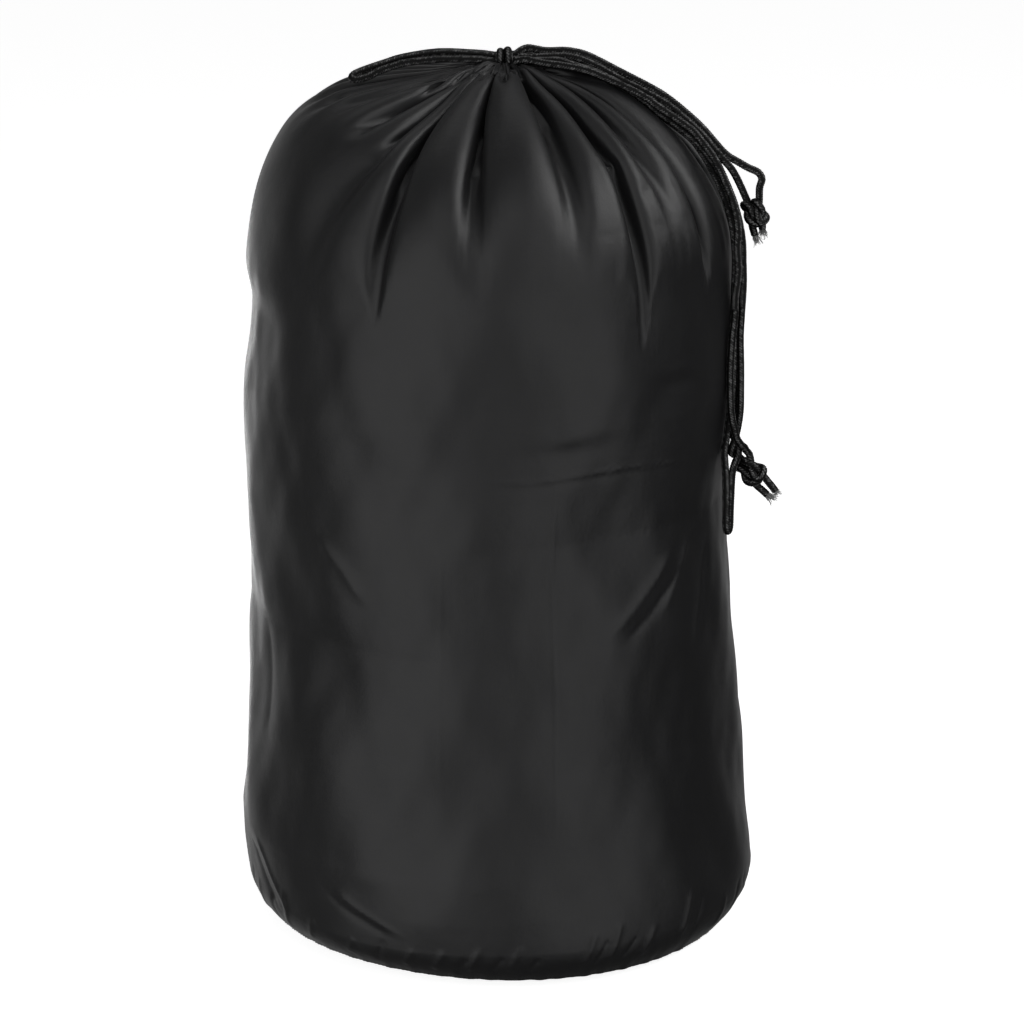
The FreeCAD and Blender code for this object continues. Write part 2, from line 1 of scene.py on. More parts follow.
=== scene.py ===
"""Drawstring storage sack: a stuffed tube of black nylon, gathered at the top and tied with cord.

Metres. The sack stands on z = 0 around the z axis. Its front faces -y, and +x is to the right
as seen from the front. Angles round it run from +x towards +y, so -90 degrees is the front.
Two doubled cord tails and a loop cross the crown and hang down the right; a short loop lies left.
"""
import json
import math

import bpy
import numpy as np
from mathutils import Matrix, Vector
from mathutils.bvhtree import BVHTree


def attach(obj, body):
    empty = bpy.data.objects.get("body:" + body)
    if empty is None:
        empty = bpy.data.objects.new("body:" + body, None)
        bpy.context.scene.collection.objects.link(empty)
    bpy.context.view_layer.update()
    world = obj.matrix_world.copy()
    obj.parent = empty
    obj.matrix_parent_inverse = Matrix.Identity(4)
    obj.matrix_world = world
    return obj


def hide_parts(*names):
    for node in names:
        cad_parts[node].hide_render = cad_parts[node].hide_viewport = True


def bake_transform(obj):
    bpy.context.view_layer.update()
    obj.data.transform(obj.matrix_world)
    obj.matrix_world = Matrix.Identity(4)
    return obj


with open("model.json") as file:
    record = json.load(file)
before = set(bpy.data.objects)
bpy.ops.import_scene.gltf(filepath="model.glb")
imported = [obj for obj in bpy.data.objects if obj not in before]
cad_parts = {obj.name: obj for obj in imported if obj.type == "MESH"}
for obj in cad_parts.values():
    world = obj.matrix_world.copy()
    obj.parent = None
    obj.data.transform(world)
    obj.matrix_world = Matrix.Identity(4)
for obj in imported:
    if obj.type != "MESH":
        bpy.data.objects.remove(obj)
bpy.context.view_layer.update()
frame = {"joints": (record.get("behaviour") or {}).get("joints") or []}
scene = bpy.context.scene

MM = 0.001
# heights over which one moving body hands over to the next
WALL_SPAN = dict(start=(0, 0, 0.03), end=(0, 0, 0.488))
THROAT_SPAN = dict(start=(0, 0, 0.585), end=(0, 0, 0.612))

# ------------------------------------------------------------------ shape of the filling
COLUMNS, ROWS = 384, 176                  # points of the simulated cloth, round and up
TUBE_RADIUS = 0.1775                      # of the cloth laid out as a plain tube
TUBE_AROUND = 2 * math.pi * TUBE_RADIUS
COLUMN_STEP = TUBE_AROUND / COLUMNS

# The outline: a wall, a shoulder arc and a flatter crown arc centred on the axis.
WALL_TOP = 0.505
SHOULDER_CENTRE, SHOULDER_RADIUS = 0.0764, 0.0946
CROWN_Z, CROWN_RADIUS = 0.3306, 0.285
CROWN_ANGLE = math.asin(0.1144 / CROWN_RADIUS)
THROAT_RADIUS = 0.0150
SHOULDER_LENGTH = SHOULDER_RADIUS * (math.pi / 2 - CROWN_ANGLE)
CROWN_START = WALL_TOP + SHOULDER_LENGTH
CLOTH_LENGTH = CROWN_START + CROWN_RADIUS * (CROWN_ANGLE - math.asin(THROAT_RADIUS / CROWN_RADIUS))
WALL_Z = [0.0, 0.008, 0.02, 0.045, 0.08, 0.2, 0.33, 0.44, WALL_TOP]
WALL_R = [0.166, 0.1725, 0.1765, 0.1795, 0.1800, 0.1765, 0.1745, 0.1725, 0.171]

row_length = np.arange(ROWS) / (ROWS - 1) * CLOTH_LENGTH      # cloth length up from the bottom seam
ROW_STEP = row_length[1] - row_length[0]

# How far the left and right sides stand outside the plain outline, by cloth length.
LUMP_LENGTH = np.array([0.0, 0.03, 0.08, 0.16, 0.24, 0.32, 0.40, 0.46,
                        0.505, 0.535, 0.565, 0.595, 0.62, 0.65, 0.68, 0.715])
LUMP_LEFT = np.array([-0.0059, 0.002, 0.0052, 0.0039, -0.0021, 0.0037, 0.0056, 0.0014,
                      -0.0012, 0.0004, 0.0142, 0.0399, 0.0285, 0.0012, -0.0025, -0.0028])
LUMP_RIGHT = np.array([-0.0015, 0.0034, -0.0034, -0.0096, -0.0105, -0.0167, -0.0077, -0.0079,
                       -0.0095, -0.0141, -0.0152, 0.0093, 0.0041, 0.0159, 0.0183, 0.0107])
SHOULDER_LUMP = 0.006                     # left lumps above this are kept to the left rear


def smooth(t):
    t = np.clip(t, 0, 1)
    return t * t * (3 - 2 * t)


def meridian(length):
    """(radius, height, radial normal, upward normal) at each cloth length."""
    bend = np.clip((length - WALL_TOP) / SHOULDER_RADIUS, 0, math.pi / 2 - CROWN_ANGLE)
    lean = CROWN_ANGLE - np.clip((length - WALL_TOP - SHOULDER_LENGTH) / CROWN_RADIUS, 0, None)
    zones = [length > CROWN_START, length > WALL_TOP]
    radius = np.select(zones, [CROWN_RADIUS * np.sin(lean),
                               SHOULDER_CENTRE + SHOULDER_RADIUS * np.cos(bend)],
                       np.interp(length, WALL_Z, WALL_R))
    height = np.select(zones, [CROWN_Z + CROWN_RADIUS * np.cos(lean),
                               WALL_TOP + SHOULDER_RADIUS * np.sin(bend)], length)
    normal_r = np.select(zones, [np.sin(lean), np.cos(bend)], 1.0)
    normal_z = np.select(zones, [np.cos(lean), np.sin(bend)], 0.0)
    return radius, height, normal_r, normal_z


def lumps(angle, length):
    """How far the filling stands outside the outline. The cloth is simulated mirrored in x."""
    angle = math.pi - angle
    across = np.cos(angle)
    left, right = smooth(0.5 - 0.75 * across), smooth(0.5 + 0.75 * across)
    left_rear = smooth((np.cos(angle - 2.88) - 0.20) / 0.65)
    on_left = np.interp(length, LUMP_LENGTH, LUMP_LEFT)
    on_right = np.interp(length, LUMP_LENGTH, LUMP_RIGHT)
    return (left * np.minimum(on_left, SHOULDER_LUMP)
            + left_rear * np.maximum(on_left - SHOULDER_LUMP, 0) + right * on_right)


def stuffing(points):
    """(distance outside the filling, its outward normal)."""
    x, y, z = points[..., 0], points[..., 1], points[..., 2]
    radius = np.sqrt(x * x + y * y) + 1e-9
    beside, above = radius - SHOULDER_CENTRE, z - WALL_TOP
    to_shoulder = np.sqrt(beside * beside + above * above) + 1e-9
    over = z - CROWN_Z
    to_crown = np.sqrt(radius * radius + over * over) + 1e-9
    on_top = z > WALL_TOP
    on_crown = radius * math.cos(CROWN_ANGLE) < over * math.sin(CROWN_ANGLE)

    def pick(crown, shoulder, wall):
        return np.where(on_top, np.where(on_crown, crown, shoulder), wall)

    outside = pick(to_crown - CROWN_RADIUS, to_shoulder - SHOULDER_RADIUS,
                   radius - np.interp(z, WALL_Z, WALL_R))
    normal_r = pick(radius / to_crown, beside / to_shoulder, 1.0)
    normal_z = pick(over / to_crown, above / to_shoulder, 0.0)
    length = pick(CROWN_START + CROWN_RADIUS * (CROWN_ANGLE - np.arctan2(radius, over)),
                  WALL_TOP + SHOULDER_RADIUS * np.arctan2(above, beside), z)
    outside = outside - lumps(np.arctan2(y, x), length)
    return outside, np.stack([normal_r * x / radius, normal_r * y / radius, normal_z], -1)


# ------------------------------------------------------------------ gathers
# Each row is one valley: its angle in degrees, mirrored in x, at each of these radii.
VALLEY_RADII = np.array([0.172, 0.140, 0.110, 0.080, 0.050, 0.022])
VALLEYS = [
    # back half
    [4, 3, 3, 5, 7, 8], [31, 33, 34, 34, 33, 31], [63, 61, 58, 57, 58, 60],
    [90, 88, 89, 91, 90, 88], [118, 120, 119, 117, 116, 115], [145, 143, 142, 143, 145, 146],
    [172, 171, 172, 173, 172, 170],
    # front half
    [-153, -147, -154, -165, -168, -163], [-122, -125, -129, -134, -141, -139],
    [-106, -109, -113, -114, -115, -117], [-84, -82, -82, -83, -84, -86],
    [-60, -63, -64, -58, -62, -64], [-40, -49, -40, -44, -46, -42], [-18, -22, -24, -24, -20, -16],
]
FINE_PLEATS = np.array([2, 2, 1, 2, 2, 2, 2, 2, 1, 1, 1, 1, 1, 2])   # between each two valleys
PLEAT_LIMIT = 0.021                                                  # height of a large pleat


def arc_table():
    """Arc length over pitch of A sin(pi x / p), for a range of A / p."""
    steepness = np.linspace(0, 14, 600)
    x = np.linspace(0, 1, 801)
    arc = np.array([
        np.sum(np.sqrt(1 + (a * math.pi * np.cos(math.pi * (x[:-1] + 0.5 / 800))) ** 2)) / 800
        for a in steepness])
    return steepness, arc


def gathered_tube():
    """The cloth before it settles, with pleats that take up its width."""
    full = 2 * math.pi
    rows = sorted([[a % 360 for a in row] for row in VALLEYS], key=lambda row: row[0])
    valleys = np.radians(np.array(rows))
    turn = valleys - valleys[:, :1]
    valleys = np.where(turn > math.pi, valleys - full,
                       np.where(turn < -math.pi, valleys + full, valleys))
    start = valleys[:, 0]
    edges = np.concatenate([start, [start[0] + full]])
    jitter = 1 + 0.22 * (np.random.RandomState(11).rand(len(start), 4)[:, 0] - 0.5)
    steepness, arc = arc_table()

    angle = np.arange(COLUMNS) / COLUMNS * full
    angle = np.where(angle < start[0], angle + full, angle)
    pleat = np.clip(np.searchsorted(edges, angle, side="right") - 1, 0, len(start) - 1)
    part = (angle - edges[pleat]) / (edges[pleat + 1] - edges[pleat])
    width = TUBE_RADIUS * (edges[pleat + 1] - edges[pleat])
    fine_count = FINE_PLEATS[pleat]
    phase = part + 0.10 * (jitter[pleat] - 1) * np.sin(2 * math.pi * part)

    points = np.zeros((ROWS, COLUMNS, 3))
    for i, (radius, height, normal_r, normal_z) in enumerate(zip(*meridian(row_length))):
        bent = np.array([np.interp(-radius, -VALLEY_RADII, row) for row in valleys])
        free = smooth((row_length[i] - 0.46) / 0.05)          # the wall itself stays unsheared
        bent = start + (bent - start) * free
        bent = np.concatenate([bent, [bent[0] + full]])
        around = bent[pleat] + part * (bent[pleat + 1] - bent[pleat])
        pitch = radius * (bent[pleat + 1] - bent[pleat])
        large = np.minimum(np.interp(width / pitch, arc, steepness) * pitch, PLEAT_LIMIT)
        # what the large pleats can't take goes into finer ones
        taken = np.interp(large / pitch, steepness, arc)
        left_over = width / (taken * pitch)
        fine = np.interp(left_over, arc, steepness) * pitch / fine_count * taken
        offset = large * (np.sin(math.pi * phase) ** 0.5 - 0.85)
        offset = (offset * (1 - 0.75 * smooth((0.06 - radius) / 0.04))
                  + fine * (np.abs(np.sin(math.pi * fine_count * phase)) - 0.5))
        # towards the throat the pleats stand out sideways, not up
        lean = smooth((0.05 - radius) / 0.035)
        out = radius + (normal_r * offset) * (1 - lean) + offset * 0.9 * lean
        out = np.maximum(out, 0.004)
        points[i, :, 0] = out * np.cos(around)
        points[i, :, 1] = out * np.sin(around)
        points[i, :, 2] = height + normal_z * offset * (1 - lean)
    return points.astype(np.float32)


# ------------------------------------------------------------------ simulation
STEPS, QUICK_STEPS = 200, 40
PASSES = 3                   # rounds of constraints in each step
KEPT_SPEED = 0.90
SAG = 0.00002                # fall per step
PRESSURE = 0.00004           # outward push per step
SHEAR, BENDING = 0.25, 0.12  # share of the error taken out per pass
COLUMN_GAP = 0.00025         # least distance round between neighbours


def normals_of(points):
    across = np.roll(points, -1, 1) - np.roll(points, 1, 1)
    up = np.empty_like(points)
    up[1:-1] = points[2:] - points[:-2]
    up[0], up[-1] = points[1] - points[0], points[-1] - points[-2]
    normal = np.cross(across, up)
    return normal / (np.sqrt((normal * normal).sum(-1)) + 1e-12)[..., None]


def constrain(first, second, rest, strength, push_only=False):
    """Move two sets of points towards their rest distance, in place."""
    gap = second - first
    length = np.sqrt((gap * gap).sum(-1)) + 1e-12
    error = (length - rest) / length
    if push_only:
        error = np.minimum(error, 0)
    move = gap * (strength * error)[..., None]
    first += 0.5 * move
    second -= 0.5 * move


def resist_shear_and_bending(points):
    diagonal = math.hypot(COLUMN_STEP, ROW_STEP)
    for row in (0, 1):
        for column in (0, 1):
            constrain(points[row:-1:2, column::2], points[row + 1::2, 1 - column::2],
                      diagonal, SHEAR)
    # points two and four apart are pushed away from each other
    for a in range(2):
        constrain(points[:, a::4], points[:, a + 2::4], 2 * COLUMN_STEP, BENDING, push_only=True)
    for a in range(4):
        constrain(points[a:-2:4], points[a + 2::4], 2 * ROW_STEP, BENDING, push_only=True)
    for a in range(4):
        constrain(points[:, a::8], points[:, a + 4::8], 4 * COLUMN_STEP, BENDING * 0.25,
                  push_only=True)


def hold_to_filling(points):
    """Keep the cloth near the filling: closely on the wall, loosely on the crown."""
    outside, normal = stuffing(points)
    loose = smooth((points[..., 2] - 0.46) / 0.07)
    points -= normal * (np.minimum(outside + 0.027 * loose, 0)
                        + 0.6 * np.maximum(outside - 0.0012 - 0.0025 * loose, 0))[..., None]


def keep_order(points):
    """Keep neighbouring columns in order round the axis, so that the cloth stays one sheet."""
    angle = np.arctan2(points[..., 1], points[..., 0])
    ahead = np.roll(angle, -1, 1) - angle
    ahead = (ahead + math.pi) % (2 * math.pi) - math.pi
    radius = np.sqrt(points[..., 0] ** 2 + points[..., 1] ** 2)
    lacking = np.maximum(COLUMN_GAP / np.maximum(radius, 0.01) - ahead, 0) * 0.5
    move = -lacking + np.roll(lacking, 1, 1)
    points[..., 0] += -np.sin(angle) * move * radius
    points[..., 1] += np.cos(angle) * move * radius


def settle(steps):
    points = gathered_tube()
    pinned_top, pinned_low = points[-2:].copy(), points[:1].copy()
    previous = points.copy()
    turned = 0
    for _ in range(steps):
        speed = (points - previous) * KEPT_SPEED
        previous = points.copy()
        points = points + speed
        points[..., 2] -= SAG
        points += normals_of(points) * PRESSURE
        for pass_index in range(PASSES):
            # the arrays turn by one column each time, so that the pairs alternate
            points, previous = np.roll(points, -1, axis=1), np.roll(previous, -1, axis=1)
            constrain(points[:, 0::2], points[:, 1::2], COLUMN_STEP, 1.0)
            for row in (0, 1):
                constrain(points[row:-1:2], points[row + 1::2], ROW_STEP, 1.0)
            points, previous = np.roll(points, -1, axis=1), np.roll(previous, -1, axis=1)
            constrain(points[:, 0::2], points[:, 1::2], COLUMN_STEP, 1.0)
            turned += 2
            resist_shear_and_bending(points)
            if pass_index == PASSES - 1:
                hold_to_filling(points)
                keep_order(points)
            points[-2:] = np.roll(pinned_top, -turned, 1)
            points[:1] = np.roll(pinned_low, -turned, 1)
    return np.roll(points, turned, 1)


# ------------------------------------------------------------------ shaping the settled cloth
def averaged(line):
    """Each row averaged with its neighbours; the end rows stay."""
    result = line.copy()
    result[1:-1] = 0.5 * line[1:-1] + 0.25 * (line[:-2] + line[2:])
    return result


def averaged_round(values, axis=0):
    return 0.5 * values + 0.25 * (np.roll(values, 1, axis) + np.roll(values, -1, axis))


def ease_shoulder(points):
    """Ease the cloth over the left and rear shoulder, so that it has no hard ledge."""
    angle = np.degrees(np.arctan2(points[..., 1], points[..., 0])) % 360
    length = row_length[:, None]
    share = (np.exp(-((angle - 162) / 50) ** 4) * smooth((length - 0.470) / 0.03)
             * (1 - smooth((length - 0.585) / 0.05)))
    for _ in range(70):
        points += share[..., None] * (averaged(averaged_round(points, 1)) - points)
    outward = points[..., :2] / (np.linalg.norm(points[..., :2], axis=-1, keepdims=True) + 1e-9)
    points[..., :2] += outward * (0.0048 * share)[..., None]


def draw_in_bottom(points):
    """The lowest rows are drawn in evenly by the bottom seam."""
    rows = 18
    top = points[rows]
    radius = np.sqrt(top[:, 0] ** 2 + top[:, 1] ** 2)
    height = top[:, 2].copy()
    angle = np.unwrap(np.arctan2(top[:, 1], top[:, 0]))
    for _ in range(10):
        radius = averaged_round(radius)
        height = averaged_round(height)
    part = (np.arange(rows) / rows)[:, None]
    radius = radius[None, :] * (1 - 0.088 * (1 - part) ** 2.2)
    # the seam lies lower at the front right and higher at the front left
    seam_z = 0.0058 - 0.0040 * np.cos(angle) * np.clip(-np.sin(angle), 0, 1)
    points[:rows, :, 0] = radius * np.cos(angle)
    points[:rows, :, 1] = radius * np.sin(angle)
    points[:rows, :, 2] = seam_z + (height - seam_z)[None, :] * part
    for _ in range(12):
        points[rows - 4:rows + 5] = averaged(points[rows - 4:rows + 5])


def finer(points):
    """Twice as many points each way on a closed tube of points."""
    rows, columns, _ = points.shape
    before, after, beyond = (np.roll(points, k, 1) for k in (1, -1, -2))
    wide = np.empty((rows, columns * 2, 3))
    wide[:, 0::2] = points
    wide[:, 1::2] = (9 * (points + after) - before - beyond) / 16
    ends = np.concatenate([2 * wide[:1] - wide[1:2], wide, 2 * wide[-1:] - wide[-2:-1]])
    tall = np.empty((rows * 2 - 1, columns * 2, 3))
    tall[0::2] = wide
    tall[1::2] = (9 * (ends[1:-2] + ends[2:-1]) - ends[:-3] - ends[3:]) / 16
    return tall


cloth = settle(STEPS)
# mirrored in x, with its columns still running from +x towards +y
cloth = cloth[:, (COLUMNS // 2 - np.arange(COLUMNS)) % COLUMNS].astype(float)
cloth[..., 0] *= -1
ease_shoulder(cloth)
draw_in_bottom(cloth)
cloth = finer(cloth)
fine_rows, fine_columns = cloth.shape[:2]
fine_length = np.arange(fine_rows) / (fine_rows - 1) * CLOTH_LENGTH
column_angle = np.arange(fine_columns) / fine_columns * 2 * math.pi

# ------------------------------------------------------------------ folds, creases and puckers
WALL_MM = 174                # wall radius that turns angles into mm along the cloth
cloth_angle = np.arctan2(cloth[..., 1], cloth[..., 0])
cloth_degrees = np.degrees(cloth_angle)
cloth_z = cloth[..., 2]

# (width mm, rise mm, points along it as (degrees, z mm)); a negative rise is a groove
CREASES = [
    # packing creases of the front
    (1.6, 0.60, [(-93, 369), (-84, 368), (-72, 370), (-58, 371), (-45, 367), (-33, 363)]),
    (3.0, -0.35, [(-93, 365), (-84, 364), (-72, 366), (-58, 367), (-45, 363)]),
    (1.3, 0.30, [(-77, 372), (-77.5, 300), (-77, 200), (-77.5, 112)]),
    (1.6, 0.12, [(-103, 330), (-103.5, 230), (-103, 140)]),
    # folds to the right of the front
    (5.0, 1.6, [(-64, 252), (-56, 268), (-49, 285), (-43, 303)]),
    (4.5, -1.7, [(-59, 247), (-51, 261), (-44, 277), (-39, 290)]),
    (4.0, 1.2, [(-47, 262), (-41, 283), (-36, 308)]),
    (6.0, -1.6, [(-35, 230), (-31, 262), (-28, 300)]),
    # folds to the left of the front
    (5.0, 1.2, [(-134, 318), (-127, 300), (-121, 276)]),
    (2.2, 0.8, [(-128, 64), (-122, 54), (-112, 41)]),
    (3.2, -0.9, [(-131, 60), (-124, 49), (-114, 37)]),
    (3.0, 1.1, [(-158, 78), (-152, 52), (-146, 33)]),
    (4.0, -1.2, [(-162, 70), (-156, 46), (-150, 28)]),
]
# (degrees, z mm, half width mm, half height mm, depth mm, turn in degrees)
DENTS = [(-74, 386, 30, 9, 1.3, 6), (-74, 398, 26, 8, -0.9, 6), (-43, 423, 17, 6, 1.1, -10),
         (-43, 431, 15, 5, -0.8, -10), (-52, 405, 34, 22, 2.4, 24)]
# small puckers low on the front: (degrees, z mm, length mm, rise before scaling)
FRONT_PUCKERS = [
    (-104, 24, 18, 1.0), (-99, 20, 15, -1.0), (-96, 26, 20, 1.1), (-91, 22, 14, -0.9),
    (-87, 27, 22, 1.0), (-83, 20, 14, -1.0), (-70, 30, 26, 1.2), (-67, 26, 20, -1.2),
    (-64, 32, 30, 1.2), (-60, 26, 16, -1.0), (-55, 28, 24, 1.1), (-44, 40, 34, 1.3),
    (-40, 36, 28, -1.2), (-111, 24, 16, 0.8), (-118, 26, 20, -0.8), (-126, 24, 16, 0.8),
    (-138, 26, 22, 0.9), (-30, 26, 24, 1.0), (-22, 28, 24, -0.9)]


def waves(angle, length, seed, count, turns, wavelength):
    """A smooth seeded field of unit size, closed round the tube."""
    rng = np.random.RandomState(seed)
    field = np.zeros_like(angle)
    for _ in range(count):
        times = rng.randint(turns[0], turns[1] + 1)
        period = rng.uniform(*wavelength)
        field = field + np.sin(times * angle + rng.choice([-1, 1]) * 2 * math.pi * length / period
                               + rng.uniform(0, 2 * math.pi))
    return field / math.sqrt(count / 2)


def crease(line, width, rise):
    """Offset in metres of a ridge along (degrees, z mm) points; width and rise in mm."""
    first = line[0][0]
    across = ((cloth_degrees - first + 180) % 360 - 180 + first) * math.pi / 180 * WALL_MM
    up = cloth_z * 1000
    nearest = np.full(across.shape, 1e9)
    along = np.zeros(across.shape)
    spans = len(line) - 1
    for k in range(spans):
        start_x, end_x = (line[i][0] * math.pi / 180 * WALL_MM for i in (k, k + 1))
        start_z = line[k][1]
        run, climb = end_x - start_x, line[k + 1][1] - start_z
        part = ((across - start_x) * run + (up - start_z) * climb) / (run * run + climb * climb)
        part = np.clip(part, 0, 1)
        distance = np.hypot(across - start_x - part * run, up - start_z - part * climb)
        closer = distance < nearest
        nearest = np.where(closer, distance, nearest)
        along = np.where(closer, (k + part) / spans, along)
    fade = np.clip(np.minimum(along, 1 - along) * 5 + 0.15, 0, 1)
    return rise * MM * fade * np.exp(-(nearest / width) ** 1.6)


def dent(degrees, z, half_width, half_height, depth, turn):
    across = ((cloth_degrees - degrees + 180) % 360 - 180) * math.pi / 180 * WALL_MM
    up = cloth_z * 1000 - z
    cos, sin = math.cos(math.radians(turn)), math.sin(math.radians(turn))
    return -depth * MM * np.exp(-((across * cos + up * sin) / half_width) ** 2
                                - ((-across * sin + up * cos) / half_height) ** 2)


def random_folds():
    """Puckers round the sides and back, then soft folds higher up."""
    rng = np.random.RandomState(3)
    total = 0
    for k in range(34):
        at = -20 + 235 * (k + rng.uniform(0.1, 0.9)) / 34
        length = rng.uniform(14, 34)
        rise = rng.choice([-1, 1]) * rng.uniform(0.5, 1.0)
        line = [(at - rng.uniform(-1, 2), 14), (at, 14 + length / 2),
                (at + rng.uniform(-1, 2.4), 14 + length)]
        total = total + crease(line, 2.7, rise)
    for _ in range(16):
        at, z, length = rng.uniform(-10, 205), rng.uniform(70, 450), rng.uniform(30, 90)
        slant = length * rng.uniform(-0.6, 0.6) * 0.16
        line = [(at - slant, z - length / 2), (at + rng.uniform(-1, 1), z),
                (at + slant, z + length / 2)]
        width = rng.uniform(3, 7)
        total = total + crease(line, width, rng.choice([-1, 1]) * rng.uniform(0.7, 1.7))
    return total


def gather_waves(*parts):
    """Sum of (size, count, wobble, wobble count, phase) ripples round the tube."""
    return sum(size * np.sin(count * column_angle + wobble * np.sin(slow * column_angle + phase))
               for size, count, wobble, slow, phase in parts)


def relief():
    """How far the cloth's detail stands out along its normals."""
    wall = smooth((cloth_z - 0.01) / 0.06) * (1 - smooth((cloth_z - 0.455) / 0.07))
    offset = 0
    for size, seed, count, turns, wavelength in (
            (0.0011, 5, 14, (3, 9), (0.12, 0.36)),
            (0.00046, 8, 16, (8, 18), (0.08, 0.26)),
            (0.00010, 21, 18, (20, 46), (0.03, 0.12))):
        offset = offset + size * wall * waves(cloth_angle, cloth_z, seed, count, turns, wavelength)
    for width, rise, line in CREASES:
        offset += crease(line, width, rise)
    for row in DENTS:
        offset += dent(*row)
    for at, z, length, rise in FRONT_PUCKERS:
        line = [(at - 1.2, z - length / 2), (at + 0.4, z), (at + 1.8, z + length / 2)]
        offset += crease(line, 2.6, rise * 0.8)
    offset += random_folds()
    # puckers where the wall is drawn into the bottom seam
    low = np.exp(-(cloth_z / 0.013) ** 1.5)
    ripple = gather_waves((0.55, 61, 1.1, 5, 0), (0.40, 97, 1.7, 7, 1), (0.35, 37, 0, 0, 0))
    ripple += 0.35 * (np.sin(37 * column_angle + 2) - np.sin(37 * column_angle))
    offset += 0.0004 * low * ripple[None, :] * smooth(cloth_z / 0.004)
    # fine gathers running into the throat
    near = (smooth((0.060 - np.hypot(cloth[..., 0], cloth[..., 1])) / 0.035)
            * smooth((cloth_z - 0.56) / 0.02))
    offset += 0.00045 * near * gather_waves((1, 71, 1.3, 9, 0), (0.6, 113, 1.1, 13, 0))[None, :]
    # felled seam up the back, with a groove along each row of stitches
    length = fine_length[:, None]
    from_back = (column_angle - math.pi / 2 + math.pi) % (2 * math.pi) - math.pi
    gap = np.abs(from_back * TUBE_RADIUS)
    below_throat = 1 - smooth((length - 0.62) / 0.05)
    seam = 1 - smooth((gap - 0.0042) / 0.0022)
    offset += (seam * 0.0009)[None, :] * below_throat * smooth((length - 0.002) / 0.004)
    groove = np.exp(-((gap - 0.0034) / 0.0010) ** 2)
    offset -= (groove * 0.0005)[None, :] * below_throat
    return offset


cloth = cloth + normals_of(cloth) * relief()[..., None]
# the gathers at the throat are drawn together and stand up
throat_radius = np.sqrt(cloth[..., 0] ** 2 + cloth[..., 1] ** 2)
raised = (cloth[..., 2] > 0.56) * np.exp(-(throat_radius / 0.026) ** 2)
cloth[..., :2] *= (1 - 0.42 * raised)[..., None]
cloth[..., 0] += 0.0025 * raised
cloth[..., 2] += 0.0078 * raised
normals = normals_of(cloth)


# ------------------------------------------------------------------ shader helpers
def new_material(name):
    material = bpy.data.materials.new(name)
    material.use_nodes = True
    tree = material.node_tree
    return material, tree, tree.nodes["Principled BSDF"]


def calc(tree, operation, *values):
    """Math node; each value is a number or a socket."""
    node = tree.nodes.new("ShaderNodeMath")
    node.operation = operation
    for i, value in enumerate(values):
        if isinstance(value, (int, float)):
            node.inputs[i].default_value = value
        else:
            tree.links.new(value, node.inputs[i])
    return node.outputs[0]


def scaled(tree, value, gain, base):
    return calc(tree, "MULTIPLY_ADD", value, gain, base)


def remap(tree, value, source, target=(0.0, 1.0)):
    node = tree.nodes.new("ShaderNodeMapRange")
    node.inputs["From Min"].default_value, node.inputs["From Max"].default_value = source
    node.inputs["To Min"].default_value, node.inputs["To Max"].default_value = target
    tree.links.new(value, node.inputs["Value"])
    return node.outputs[0]


def noise(tree, place, scale, detail=2.0, roughness=0.5, stretch=None):
    if stretch:
        mapping = tree.nodes.new("ShaderNodeMapping")
        mapping.inputs["Scale"].default_value = stretch
        tree.links.new(place, mapping.inputs["Vector"])
        place = mapping.outputs[0]
    node = tree.nodes.new("ShaderNodeTexNoise")
    node.inputs["Scale"].default_value = scale
    node.inputs["Detail"].default_value = detail
    node.inputs["Roughness"].default_value = roughness
    tree.links.new(place, node.inputs["Vector"])
    return node.outputs["Fac"]


def bump(tree, height, strength, distance, under=None):
    node = tree.nodes.new("ShaderNodeBump")
    node.inputs["Strength"].default_value = strength
    node.inputs["Distance"].default_value = distance
    tree.links.new(height, node.inputs["Height"])
    if under is not None:
        tree.links.new(under, node.inputs["Normal"])
    return node.outputs[0]


def colour(tree, target, tone, blue=None):
    """Feed a grey tone to a colour input, with its own blue if given."""
    node = tree.nodes.new("ShaderNodeCombineColor")
    for i, value in enumerate((tone, tone, tone if blue is None else blue)):
        tree.links.new(value, node.inputs[i])
    tree.links.new(node.outputs[0], target)


# ------------------------------------------------------------------ materials
WEAVE_PITCH = 0.00055


